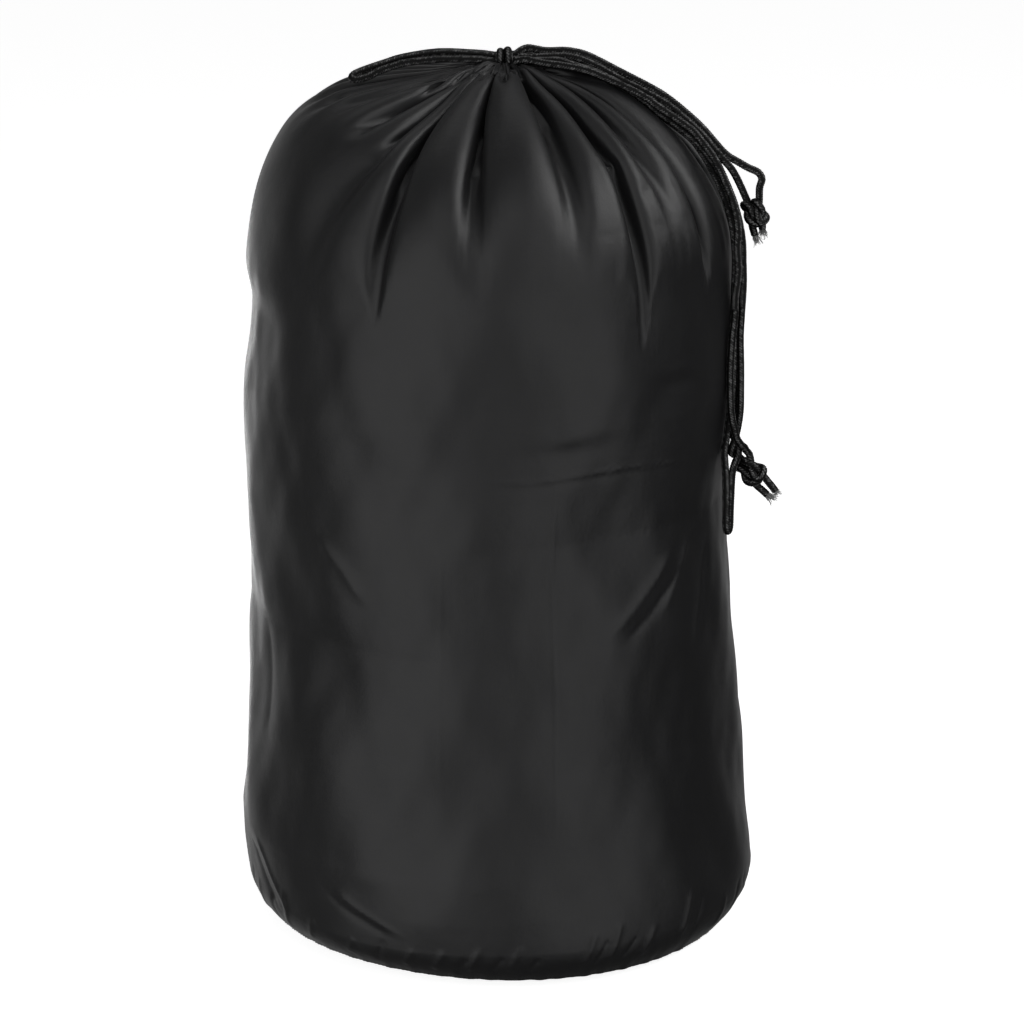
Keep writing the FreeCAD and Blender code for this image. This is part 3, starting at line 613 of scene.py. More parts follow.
def nylon(name, use_uv):
    """Black coated taffeta: fine plain weave, satin sheen, faint crinkle, painted highlight on fold
    edges.
    """
    material, tree, shader = new_material(name)
    coords = tree.nodes.new("ShaderNodeTexCoord")
    place = coords.outputs["Object"]
    broad = noise(tree, place, scale=9.0)
    medium = noise(tree, place, scale=60.0, detail=4.0, roughness=0.6)
    fine = noise(tree, place, scale=420.0, roughness=0.6)

    thread_place = coords.outputs["UV"] if use_uv else place
    split = tree.nodes.new("ShaderNodeSeparateXYZ")
    tree.links.new(thread_place, split.inputs[0])
    warp, weft = (calc(tree, "SINE", calc(tree, "MULTIPLY", axis, 2 * math.pi / WEAVE_PITCH))
                  for axis in (split.outputs[0], split.outputs[1]))
    weave = calc(tree, "MULTIPLY", warp, weft)
    slub = noise(tree, thread_place, scale=1.0, stretch=(2600.0, 26.0, 1.0))
    cross_slub = noise(tree, thread_place, scale=1.0, stretch=(30.0, 2400.0, 1.0))

    geometry = tree.nodes.new("ShaderNodeNewGeometry")
    # painted highlight: paler colour on sharply bent fold and crease ridges, which also get a
    # rougher finish below
    edge = remap(tree, geometry.outputs["Pointiness"], source=(0.52, 0.60))
    tone = scaled(tree, broad, gain=0.006, base=0.0075)
    tone = scaled(tree, edge, gain=0.010, base=tone)
    tone = scaled(tree, weave, gain=0.0012, base=tone)
    tone = scaled(tree, slub, gain=0.003, base=tone)
    colour(tree, shader.inputs["Base Color"], tone, blue=calc(tree, "MULTIPLY", tone, 1.06))

    rough = scaled(tree, medium, gain=0.10, base=0.33)
    rough = scaled(tree, broad, gain=0.06, base=rough)
    rough = scaled(tree, edge, gain=0.08, base=rough)
    tree.links.new(rough, shader.inputs["Roughness"])
    shader.inputs["IOR"].default_value = 1.5
    shader.inputs["Sheen Weight"].default_value = 0.03
    shader.inputs["Sheen Roughness"].default_value = 0.35

    surface = bump(tree, medium, strength=0.30, distance=0.0010)
    surface = bump(tree, fine, strength=0.16, distance=0.0003, under=surface)
    surface = bump(tree, weave, strength=0.22, distance=0.00006, under=surface)
    slubs = calc(tree, "ADD", slub, cross_slub)
    surface = bump(tree, slubs, strength=0.20, distance=0.00012, under=surface)
    tree.links.new(surface, shader.inputs["Normal"])
    return material


def cord_material():
    """Braided polyester: dark strands; the crowns of the braid carry a painted highlight."""
    material, tree, shader = new_material("braided_cord")
    painted_braid_highlight = tree.nodes.new("ShaderNodeAttribute")
    painted_braid_highlight.attribute_name = "braid"
    place = tree.nodes.new("ShaderNodeTexCoord").outputs["Object"]
    fibre = noise(tree, place, scale=900.0, roughness=0.6)
    patch = noise(tree, place, scale=120.0)
    # painted highlight: paler colour on the crowns of the braid, speckled by fibre noise, standing
    # in for the glint of shiny filaments
    top = remap(tree, painted_braid_highlight.outputs["Fac"], source=(0.25, 0.90))
    painted_glint_speck = remap(tree, fibre, source=(0.30, 0.60), target=(0.4, 1.0))
    tone = scaled(tree, calc(tree, "MULTIPLY", top, painted_glint_speck), gain=0.34, base=0.003)
    tone = scaled(tree, calc(tree, "MULTIPLY", top, patch), gain=0.03, base=tone)
    colour(tree, shader.inputs["Base Color"], tone)
    tree.links.new(scaled(tree, patch, gain=0.2, base=0.42), shader.inputs["Roughness"])
    tree.links.new(scaled(tree, top, gain=0.36, base=0.18), shader.inputs["Specular IOR Level"])
    tree.links.new(bump(tree, fibre, strength=0.4, distance=0.0002), shader.inputs["Normal"])
    return material


def thread_material(name, tone):
    material, tree, shader = new_material(name)
    place = tree.nodes.new("ShaderNodeTexCoord").outputs["Object"]
    fibre = noise(tree, place, scale=1500.0)
    colour(tree, shader.inputs["Base Color"], scaled(tree, fibre, gain=tone, base=tone * 0.6))
    shader.inputs["Roughness"].default_value = 0.55
    tree.links.new(bump(tree, fibre, strength=0.4, distance=0.0001), shader.inputs["Normal"])
    return material


NYLON = nylon("coated_nylon", use_uv=True)
NYLON_BASE = nylon("coated_nylon_base", use_uv=False)
CORD = cord_material()
THREAD = thread_material("sewing_thread", tone=0.030)
TAPE = thread_material("binding_tape", tone=0.016)


# ------------------------------------------------------------------ mesh helpers
def make(name, vertices, faces, material):
    mesh = bpy.data.meshes.new(name)
    mesh.from_pydata(np.asarray(vertices, float).tolist(), [],
                     [tuple(int(i) for i in face) for face in faces])
    mesh.polygons.foreach_set("use_smooth", [True] * len(mesh.polygons))
    mesh.materials.append(material)
    mesh.update()
    ob = bpy.data.objects.new(name, mesh)
    scene.collection.objects.link(ob)
    return ob


def register(ob, slot, *replaced):
    if replaced:
        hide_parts(*replaced)


def grid_faces(rows, columns):
    """Quads of a tube of points, closed round."""
    i, j = np.meshgrid(np.arange(rows - 1), np.arange(columns), indexing="ij")
    k = (j + 1) % columns
    corners = [i * columns + j, i * columns + k, (i + 1) * columns + k, (i + 1) * columns + j]
    return np.stack(corners, -1).reshape(-1, 4)


def capped_tube_faces(base, rings, sides):
    faces = []
    for i in range(rings - 1):
        low = base + i * sides
        for j in range(sides):
            k = (j + 1) % sides
            faces.append((low + j, low + k, low + sides + k, low + sides + j))
    faces.append(tuple(base + j for j in range(sides - 1, -1, -1)))
    faces.append(tuple(base + (rings - 1) * sides + j for j in range(sides)))
    return faces


def put_uv(ob, lengths):
    """UV in metres of cloth, from each row's length up; faces over the join are unwrapped."""
    across = np.arange(fine_columns) / fine_columns * TUBE_AROUND
    uv = np.stack(np.broadcast_arrays(across[None, :], lengths[:, None]), -1).reshape(-1, 2)
    mesh = ob.data
    layer = mesh.uv_layers.new(name="UVMap")
    vertex = np.zeros(len(mesh.loops), np.int32)
    mesh.loops.foreach_get("vertex_index", vertex)
    corners = uv[vertex].reshape(-1, 4, 2)
    wide = corners[..., 0].max(1) - corners[..., 0].min(1) > TUBE_AROUND * 0.5
    low = corners[..., 0] < TUBE_AROUND * 0.5
    corners[..., 0] += np.where(wide[:, None] & low, TUBE_AROUND, 0)
    layer.data.foreach_set("uv", corners.astype(np.float32).ravel())


def put_painted_highlight(ob, values):
    # stores the painted highlight that the cord material turns into paler colour on the braid
    # crowns
    attribute = ob.data.attributes.new("braid", "FLOAT", "POINT")
    attribute.data.foreach_set("value", np.asarray(values, np.float32))


def unit(vector):
    return vector / np.linalg.norm(vector)


def lengths_along(line):
    return np.concatenate([[0], np.cumsum(np.linalg.norm(np.diff(line, axis=0), axis=1))])


def resample(at, along, line):
    return np.stack([np.interp(at, along, line[:, k]) for k in range(3)], -1)


# ------------------------------------------------------------------ fabric pieces
cut_row = int(np.argmax(cloth[..., 2].min(1) > 0.4885))       # where wall and crown pieces meet


def sheet(name, first, last):
    rows = slice(first, last + 1)
    ob = make(name, cloth[rows].reshape(-1, 3), grid_faces(last - first + 1, fine_columns), NYLON)
    put_uv(ob, fine_length[rows])
    ob.data.normals_split_custom_set_from_vertices(normals[rows].reshape(-1, 3).tolist())
    return ob


def hem_gather():
    """The cord channel bunched up round the closed throat."""
    rows = 26
    edge = cloth[-1]
    centre = edge[:, :2].mean(0)
    edge_z = edge[:, 2].mean()
    ruffle = gather_waves((0.6, 43, 0.9, 3, 0), (0.4, 67, 1.3, 5, 0))
    points = []
    for t in np.linspace(0, 1, rows):
        flat = (edge[:, :2] - centre) * (1 - 0.60 * smooth(t / 0.9) ** 0.8)
        level = smooth(t / 0.6)
        rise = 0.0022 * level if t < 0.6 else 0.0022 - 0.014 * ((t - 0.6) / 0.4) ** 1.4
        z = (edge[:, 2] * (1 - level) + edge_z * level + rise
             + 0.0006 * ruffle * math.sin(math.pi * min(1, t * 1.3)))
        flat = flat * (1 + 0.04 * ruffle[:, None] * math.sin(math.pi * t))
        points.append(np.concatenate([centre + flat, z[:, None]], 1))
    ob = make("hem_gather", np.concatenate(points), grid_faces(rows, fine_columns), NYLON)
    put_uv(ob, CLOTH_LENGTH + np.linspace(0, 0.03, rows))
    return ob


def bottom_disc():
    """Lies nearly flat, drawn in by its seam."""
    rows = 40
    edge = cloth[0]
    angle = np.arctan2(edge[:, 1], edge[:, 0])
    points = []
    for t in np.linspace(0, 1, rows):
        shrink = (1 - t) ** 0.9
        near_seam = math.exp(-(t / 0.06) ** 1.2)
        wave = waves(angle, np.full(fine_columns, t * 0.165), seed=31, count=10, turns=(2, 9),
                     wavelength=(0.05, 0.16))
        z = (edge[:, 2] * near_seam
             + (1 - near_seam) * (0.0010 + 0.0005 * wave * smooth(shrink * 4)))
        z = z + 0.0012 * math.exp(-((t - 0.02) / 0.012) ** 2)
        flat = edge[:, :2] * max(shrink, 1e-4)
        points.append(np.concatenate([flat, np.maximum(z, 0.0002)[:, None]], 1))
    faces = grid_faces(rows, fine_columns)[:, ::-1]
    return make("bottom_disc", np.concatenate(points), faces, NYLON_BASE)


body = sheet("fabric_body", 0, cut_row)
register(body, "coated_nylon", "lower_body_wall", "side_seam_lower")
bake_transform(body)

crown = sheet("fabric_crown", cut_row, fine_rows - 1)
register(crown, "coated_nylon", "upper_body_wall", "side_seam_upper")
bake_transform(crown)

hem = hem_gather()
register(hem, "coated_nylon", "hem_channel", "drawcord_a_in_channel", "drawcord_b_in_channel")
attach(hem, "mouth")

disc = bottom_disc()
register(disc, "coated_nylon", "bottom_panel")
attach(disc, "base")


# ------------------------------------------------------------------ stitches and tape
SEAM_ROW_OFFSET = 0.0034     # each stitch row from the middle of the back seam


def stitches(name, line, line_normals, pitch=0.0030, length=0.0022, radius=0.00024):
    """Short thread stitches laid along a line, each arching into the cloth at its ends."""
    rings, sides = 6, 6
    arch = np.array([-1.0, 0.35, 0.8, 0.8, 0.35, -1.0]) * radius
    along = lengths_along(line)
    vertices, faces = [], []
    for middle in np.arange(pitch, along[-1] - pitch, pitch):
        at = np.linspace(middle - length / 2, middle + length / 2, rings)
        normal = resample(at, along, line_normals)
        centre = resample(at, along, line) + normal * arch[:, None]
        direction = unit(centre[-1] - centre[0])
        faces += capped_tube_faces(len(vertices), rings, sides)
        for i in range(rings):
            up = unit(normal[i] - direction * (normal[i] @ direction))
            side = np.cross(direction, up)
            thickness = radius * (0.75 if i in (0, rings - 1) else 1.0)
            for j in range(sides):
                turn = j * math.pi / 3
                vertices.append(centre[i] + thickness * (math.cos(turn) * side
                                                         + math.sin(turn) * up))
    return make(name, vertices, faces, THREAD)


def closed_row(row):
    """Points and normals once round the cloth."""
    return [np.concatenate([grid[row], grid[row][:1]]) for grid in (cloth, normals)]


def column_line(offset, first, last):
    """Points and normals up the cloth, offset in metres of cloth from the back seam."""
    column = (math.pi / 2 + offset / TUBE_RADIUS) / (2 * math.pi) * fine_columns
    low = int(math.floor(column))
    part = column - low
    line, normal = (grid[first:last, low % fine_columns] * (1 - part)
                    + grid[first:last, (low + 1) % fine_columns] * part
                    for grid in (cloth, normals))
    return line, normal / np.linalg.norm(normal, axis=1)[:, None]


def bottom_tape():
    """Binding folded over the seam allowance, just inside the bottom seam."""
    around, sides = 360, 10
    vertices, faces = [], []
    for i in range(around):
        edge = cloth[0, int(i / around * fine_columns)]
        angle, radius = math.atan2(edge[1], edge[0]), math.hypot(edge[0], edge[1])
        ahead = (i + 1) % around * sides
        for j in range(sides):
            turn = j / sides * 2 * math.pi
            out = radius - 0.0050 + 0.0034 * math.cos(turn)
            vertices.append((out * math.cos(angle), out * math.sin(angle),
                             edge[2] + 0.0034 + 0.0010 * math.sin(turn)))
            k = (j + 1) % sides
            faces.append((i * sides + j, ahead + j, ahead + k, i * sides + k))
    return make("bottom_tape", vertices, faces, TAPE)


bottom_thread = stitches("bottom_stitches", *closed_row(1),
                         pitch=0.0032, length=0.0024, radius=0.00026)
register(bottom_thread, "sewing_thread", "bottom_seam_thread")
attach(bottom_thread, "base")

tape = bottom_tape()
register(tape, "binding_tape", "bottom_seam_binding")
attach(tape, "base")

seam_end_row = int(0.62 / CLOTH_LENGTH * (fine_rows - 1))
for name, first, last, bodies, span in (
        ("seam_stitches_body", 4, cut_row, ("base", "upper"), WALL_SPAN),
        ("seam_stitches_crown", cut_row, seam_end_row, ("upper", "mouth"), THROAT_SPAN)):
    for suffix, offset in (("_a", -SEAM_ROW_OFFSET), ("_b", SEAM_ROW_OFFSET)):
        seam_thread = stitches(name + suffix, *column_line(offset, first, last))
        register(seam_thread, "sewing_thread")
        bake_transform(seam_thread)

hem_thread = stitches("hem_stitches", *closed_row(-6))
register(hem_thread, "sewing_thread", "channel_stitching")
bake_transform(hem_thread)

# ------------------------------------------------------------------ cord routes
# Centre lines (x, y, z) in mm of the two cords of a relaxed doubled overhand knot, in its own
# frame; the free ends leave towards +y.
KNOT_1 = np.array([
    [-7.1, -46.6, 7.3], [-7.1, -43.9, 7.3], [-7.0, -41.1, 7.1], [-6.8, -38.4, 6.9],
    [-6.6, -35.7, 6.5], [-6.2, -33.0, 6.1], [-5.8, -30.3, 5.5], [-5.3, -27.7, 4.9],
    [-4.7, -25.1, 4.2], [-4.0, -22.6, 3.3], [-3.2, -20.1, 2.4], [-2.4, -17.6, 1.5],
    [-1.5, -15.2, 0.5], [-0.5, -12.9, -0.6], [0.5, -10.5, -1.7], [1.4, -8.2, -2.8],
    [1.3, -5.7, -4.0], [1.1, -3.3, -5.3], [1.9, -1.3, -7.0], [3.0, 1.0, -8.0],
    [4.0, 3.4, -8.8], [5.5, 5.7, -8.7], [7.3, 6.3, -6.8], [8.5, 4.7, -5.0],
    [9.5, 2.8, -3.4], [8.9, 1.0, -1.4], [6.9, -0.3, -0.1], [4.3, -1.3, -0.1],
    [1.9, -2.5, -0.3], [-0.4, -4.0, -0.5], [-2.2, -5.9, -1.5], [-2.8, -7.7, -3.4],
    [-2.1, -8.9, -5.7], [-0.2, -8.4, -7.4], [2.2, -7.0, -7.9], [4.3, -5.4, -7.3],
    [5.4, -3.4, -5.9], [5.5, -0.9, -4.6], [5.2, 1.6, -3.5], [5.6, 3.9, -2.1],
    [6.4, 6.1, -0.7], [6.7, 8.6, 0.4], [7.1, 11.1, 1.4], [7.6, 13.7, 2.5],
    [8.0, 16.2, 3.4], [8.4, 18.8, 4.3], [8.8, 21.4, 5.2], [9.2, 24.0, 5.9],
    [9.6, 26.6, 6.6], [9.9, 29.3, 7.2], [10.1, 32.0, 7.7], [10.3, 34.7, 8.1],
    [10.5, 37.4, 8.4], [10.6, 40.2, 8.6], [10.7, 42.9, 8.7]])
KNOT_2 = np.array([
    [-11.5, -44.6, 6.9], [-11.5, -41.8, 6.9], [-11.4, -39.1, 6.7], [-11.2, -36.3, 6.4],
    [-11.0, -33.6, 6.0], [-10.8, -30.9, 5.5], [-10.5, -28.2, 5.0], [-10.1, -25.6, 4.3],
    [-9.7, -23.0, 3.5], [-9.3, -20.4, 2.6], [-8.9, -17.9, 1.7], [-8.4, -15.3, 0.7],
    [-7.9, -12.8, -0.4], [-7.5, -10.3, -1.4], [-7.1, -7.8, -2.4], [-6.4, -5.3, -3.5],
    [-6.0, -2.9, -4.6], [-5.8, -0.3, -5.5], [-5.5, 2.2, -6.6], [-4.5, 4.5, -7.8],
    [-2.7, 6.3, -8.8], [-0.3, 7.6, -8.7], [2.0, 8.2, -7.4], [3.2, 8.0, -5.0],
    [2.7, 7.5, -2.4], [1.0, 5.9, -1.0], [-0.9, 3.9, -0.7], [-2.8, 1.9, -0.6],
    [-4.8, 0.0, -0.7], [-7.1, -1.4, -0.7], [-9.4, -2.7, -1.7], [-10.5, -4.1, -3.8],
    [-9.8, -5.4, -6.0], [-7.7, -5.6, -7.7], [-5.4, -4.3, -8.5], [-3.5, -2.2, -8.6],
    [-2.1, 0.0, -8.1], [-1.0, 2.2, -6.9], [-0.7, 4.6, -5.4], [-1.0, 7.1, -4.5],
    [-0.5, 9.7, -3.9], [0.5, 12.1, -3.0], [1.6, 14.5, -2.0], [2.6, 16.8, -1.0],
    [3.5, 19.3, -0.0], [4.3, 21.7, 0.9], [5.1, 24.2, 1.8], [5.7, 26.7, 2.6],
    [6.3, 29.3, 3.3], [6.8, 32.0, 4.0], [7.2, 34.7, 4.5], [7.5, 37.4, 4.9],
    [7.7, 40.1, 5.2], [7.9, 42.8, 5.4], [7.9, 45.6, 5.5]])

# Routes (x, y, z) in mm from the bow, over the crown and down the right side.
# Tail A is short and tail B long; each is two cords that end in a knot.
TAIL_A1 = [
    (5, 1, 626), (12, 2, 625.8), (25, 3, 625.8), (42, 2, 628.4), (52, 1, 627.8), (60, 0, 625.8),
    (70, -3, 621.6), (83, -8, 615.7), (105, -15, 605.5), (117, -19, 598.5), (131, -24, 587.6),
    (140, -26, 579.2), (147, -27.2, 571), (153, -27, 563.8), (158, -25.6, 559.4),
    (164, -26.9, 556.4), (171.4, -28.5, 552.6), (178.0, -29.7, 549.8), (180.8, -30.5, 545.2),
    (179.2, -30.1, 539)]
TAIL_A2 = [
    (5, -1, 623), (12, -1.5, 623), (25, -1, 623.5), (42, -3, 625.5), (52, -4, 624.8),
    (60, -5.5, 622.3), (70, -8, 618), (83, -13, 611.5), (105, -20, 601.5), (117, -24, 595),
    (131, -28.5, 584), (140, -30.5, 575.8), (147, -31, 567.5), (154, -29.2, 559.2),
    (160.0, -27.5, 551.6), (165.2, -28.2, 542.0)]
TAIL_B1 = [
    (6, -4, 621), (14, -9, 620), (25, -13, 621.5), (41.4, -17, 622), (58.6, -20.5, 619.5),
    (70.9, -23.5, 615.5), (83.2, -26, 610.2), (99.6, -29.5, 602.2), (108.2, -31.5, 596.4),
    (130.4, -36.5, 581.6), (137, -39.5, 575), (147.5, -46.0, 562.4), (156.3, -51.5, 544.6),
    (161, -54.6, 531.8), (163.6, -56.9, 515.5), (163.1, -56.8, 504.2), (164.2, -57.0, 486.7),
    (162.3, -56.6, 467.8), (162.0, -56.6, 453.8), (160.6, -56.2, 439.2), (159.6, -56.0, 417.2),
    (159.9, -56.1, 398.5), (160.5, -56.2, 386.4), (162.6, -55.6, 374.6), (166.0, -52.5, 363.0)]
TAIL_B2 = [
    (6, -2.5, 619.5), (14, -6, 617.5), (25, -10, 617.5), (41, -14, 617.5), (58.6, -17, 615.5),
    (71, -19.5, 611.5), (83, -22.5, 606.5), (100, -26.5, 598.5), (108, -28.5, 593),
    (130, -34, 578), (138, -37.5, 570.5), (149, -42, 556.5), (157.5, -45.5, 540),
    (163, -47, 522), (166.6, -46.6, 505), (167.5, -45.6, 491.0), (168.1, -45.7, 472.6),
    (167.1, -45.5, 450.4), (166.6, -45.4, 436.0), (167.3, -45.6, 413.8), (167.3, -45.6, 389.9),
    (166.5, -45.4, 380.0), (164.2, -46.0, 366), (162.4, -47.5, 354.5)]
# The two sides of the right loop, and the turn between them.
LOOP_SIDE_1 = [
    (6, 3.5, 621.5), (14, 5, 619), (25, 7, 617.5), (42, 7, 619), (58.6, 5, 616), (71, 2, 612),
    (83, -2, 607.5), (100, -10, 598), (108, -14, 592.5), (130, -23, 577), (140, -29, 567),
    (149, -35, 555), (157, -39.5, 540), (162.4, -41.5, 522), (165.0, -42.0, 505),
    (165.8, -41.6, 485), (165.4, -41.0, 465), (164.6, -41.0, 440), (164.0, -41.4, 415),
    (163.2, -42.6, 392), (162.6, -44.2, 372), (162.7, -44.8, 352), (162.0, -43.8, 338),
    (161.4, -43.4, 322), (160.9, -43.2, 308), (160.7, -43.6, 300)]
LOOP_TURN = [(160.1, -44.6, 296.4), (159.5, -45.5, 295.4), (158.8, -46.4, 296.4)]
LOOP_SIDE_2 = [
    (6, 1.5, 618.5), (14, 1.0, 615.5), (25, 1.5, 614), (42, 0, 614), (58.6, -3, 611.5),
    (71, -6, 608), (83, -10, 604), (100, -17, 595.5), (108, -20, 590), (130, -28.5, 575),
    (139, -33.5, 565.5), (147, -38.5, 553), (154.6, -42.5, 538), (160.0, -46.0, 521),
    (162.0, -48.5, 505), (162.4, -48.8, 485), (161.8, -48.6, 465), (160.8, -48.4, 440),
    (160.0, -47.6, 415), (158.6, -46.8, 392), (157.6, -46.2, 372), (157.4, -46.4, 352),
    (157.6, -47.0, 338), (157.9, -47.3, 322), (158.0, -47.5, 308), (158.2, -47.2, 300)]
LEFT_LOOP = [
    (3, 1.5, 624.5), (-4, 2.2, 625.2), (-10, 3.2, 625.9), (-19.1, 6, 626.0), (-42.6, 8, 626.3),
    (-66.8, 8, 622.6), (-80, 6.4, 618.8), (-90.6, 4.6, 615.6), (-98.6, 3, 612.8),
    (-102.2, 0.8, 610.8), (-101.8, -1.6, 609.2), (-97.4, -2.8, 609.4), (-90, -2.6, 611.6),
    (-84, -0.6, 614.4), (-77.8, 1.0, 616.4), (-66.7, 2.2, 619.6), (-55, 1.4, 621.4),
    (-42, 1.6, 622.6), (-30, 1.0, 622.8), (-17.7, 0, 622.6), (-9, -1.2, 622.2),
    (-3, -2.0, 621.8), (3, -1.5, 621.4)]
# End of the bow's wrap, running forward and down over the gathers.
WRAP_END = [(8.6, -6.4, 619.6), (11.0, -10.0, 616.4), (13.4, -14.0, 613.8), (15.4, -19.0, 611.0),
            (16.6, -24.0, 606.5)]

CORD_RADIUS = 0.00260
PATH_STEP = 0.002


def curve(points, step):
    """Catmull-Rom through points in mm, resampled to even steps in metres."""
    points = np.asarray(points, float) * MM
    ends = np.concatenate([[2 * points[0] - points[1]], points, [2 * points[-1] - points[-2]]])
    t = np.linspace(0, 1, 24, endpoint=False)[:, None]
    spans = []
    for i in range(1, len(ends) - 2):
        a, b, c, d = ends[i - 1:i + 3]
        spans.append(0.5 * ((2 * b) + (c - a) * t + (2 * a - 5 * b + 4 * c - d) * t * t
                            + (3 * b - a - 3 * c + d) * t ** 3))
    dense = np.concatenate(spans + [points[-1:]])
    along = lengths_along(dense)
    count = max(int(round(along[-1] / step)), 4)
    return resample(np.linspace(0, along[-1], count + 1), along, dense)


def place_knot(centre, exit_direction, side, scale, end_cuts):
    """Both cords of the knot in mm, turned so that the free ends leave along exit_direction."""
    out = unit((KNOT_1[-3] - KNOT_1[-11]) + (KNOT_2[-3] - KNOT_2[-11]))
    across = unit(np.array([1.0, 0, 0]) - out * out[0])
    local = np.stack([across, out, np.cross(across, out)])
    y = unit(np.array(exit_direction, float))
    x = np.array(side, float)
    x = unit(x - y * (x @ y))
    world_axes = np.stack([x, y, np.cross(x, y)])
    middle = np.array([0.0, 0.0, -4.2])
    start_cut = 34
    placed = []
    for knot, end_cut in zip((KNOT_1, KNOT_2), end_cuts):
        knot = ((knot - middle) @ local.T) @ world_axes * scale + np.array(centre)
        along = lengths_along(knot)
        placed.append(knot[(along > start_cut) & (along < along[-1] - end_cut)])
    return placed


def lay_cords(paths):
    """Push the paths out of the cloth and apart from each other, keeping knots and bow rigid.

    The paths come in the order tail A (0, 1), tail B (2, 3), right loop (4), left loop (5).
    """
    owner = np.concatenate([np.full(len(path), i) for i, path in enumerate(paths)])
    index = np.concatenate([np.arange(len(path)) for path in paths])
    start = np.concatenate(paths)
    x, z = start[:, 0], start[:, 2]
    from_a = np.linalg.norm(start - np.array([0.1762, -0.0296, 0.5208]), axis=1)
    from_b = np.linalg.norm(start - np.array([0.1759, -0.0494, 0.3406]), axis=1)
    knot_a = (from_a < 0.014) | ((z < 0.5208) & (owner < 2))
    knot_b = ((from_b < 0.016) & ((owner == 2) | (owner == 3))) | ((x > 0.1759) & (z < 0.345))
    bow = (np.abs(x) < 0.012) & (z > 0.60)
    rigid = knot_a | knot_b | bow
    neighbours = ((owner[:, None] == owner[None, :])
                  & (np.abs(index[:, None] - index[None, :]) < 5))
    skip = neighbours | (rigid[:, None] & rigid[None, :])
    cloth_tree = BVHTree.FromPolygons(cloth.reshape(-1, 3).tolist(),
                                      grid_faces(fine_rows, fine_columns).tolist())

    def out_of_cloth(points):
        push = np.zeros_like(points)
        for i in np.flatnonzero(~rigid):
            point = points[i]
            outward = unit(point - np.array([0.0, 0.0, min(point[2], 0.42)]))
            place, normal, _, _ = cloth_tree.ray_cast(Vector(point + outward * 0.05),
                                                      Vector(-outward), 0.12)
            if place is None:
                continue
            clear = (point - np.array(place)) @ outward
            facing = max(0.45, abs(np.array(normal) @ outward))
            needed = (CORD_RADIUS + 0.0002) / facing
            if clear < needed:
                push[i] = outward * (needed - clear)
        return push

    rounds, smooth_rounds, block = 46, 42, 600
    shift = np.zeros_like(start)
    for round_index in range(rounds):
        if round_index % 3 == 0:
            shift += out_of_cloth(start + shift)
        points = start + shift
        for low in range(0, len(points), block):
            part = slice(low, low + block)
            apart = points[part, None] - points[None]
            distance = np.sqrt((apart * apart).sum(-1)) + 1e-9
            overlap = np.where(skip[part] | (distance > 2 * CORD_RADIUS), 0,
                               2 * CORD_RADIUS + 0.00005 - distance)
            move = (apart / distance[..., None] * overlap[..., None]).sum(1) * 0.35
            move[rigid[part]] = 0
            shift[part] += np.clip(move, -0.001, 0.001)
        if round_index < smooth_rounds:
            for i in range(len(paths)):
                own = owner == i
                eased = averaged(shift[own])
                eased[rigid[own]] = 0
                shift[own] = eased
    points = start + shift
    return [points[owner == i] for i in range(len(paths))]


knot_a1, knot_a2 = place_knot((176.4, -29.6, 520.8), exit_direction=(0.02, 0.0, -1.0),
                              side=(1, -0.3, 0), scale=0.88, end_cuts=(29, 26))
knot_b1, knot_b2 = place_knot((175.9, -49.4, 340.6), exit_direction=(0.55, -0.14, -0.82),
                              side=(0.5, -0.5, 0.6), scale=0.98, end_cuts=(22, 25))
routes = [
    np.concatenate([TAIL_A1, knot_a1]), np.concatenate([TAIL_A2, knot_a2]),
    np.concatenate([TAIL_B1, knot_b1]), np.concatenate([TAIL_B2, knot_b2]),
    np.concatenate([LOOP_SIDE_1, LOOP_TURN, LOOP_SIDE_2[::-1]]), LEFT_LOOP,
]
paths = [curve(route, PATH_STEP) for route in routes]
# the loop's lower part leaves room for the wall when the sack is pressed down
right_loop = paths[4]
lowered = smooth((0.372 - right_loop[:, 2]) / 0.065)
right_loop[:, 1] -= 0.013 * lowered
right_loop[:, 2] += 0.0035 * lowered
tail_a1, tail_a2, tail_b1, tail_b2, right_loop, left_loop = lay_cords(paths)

# ------------------------------------------------------------------ braided cord
CARRIERS, BRAID_PITCH, BRAID_RELIEF = 8, 0.0150, 0.00060
BRAID_SIDES, BRAID_RING = 28, 0.00058


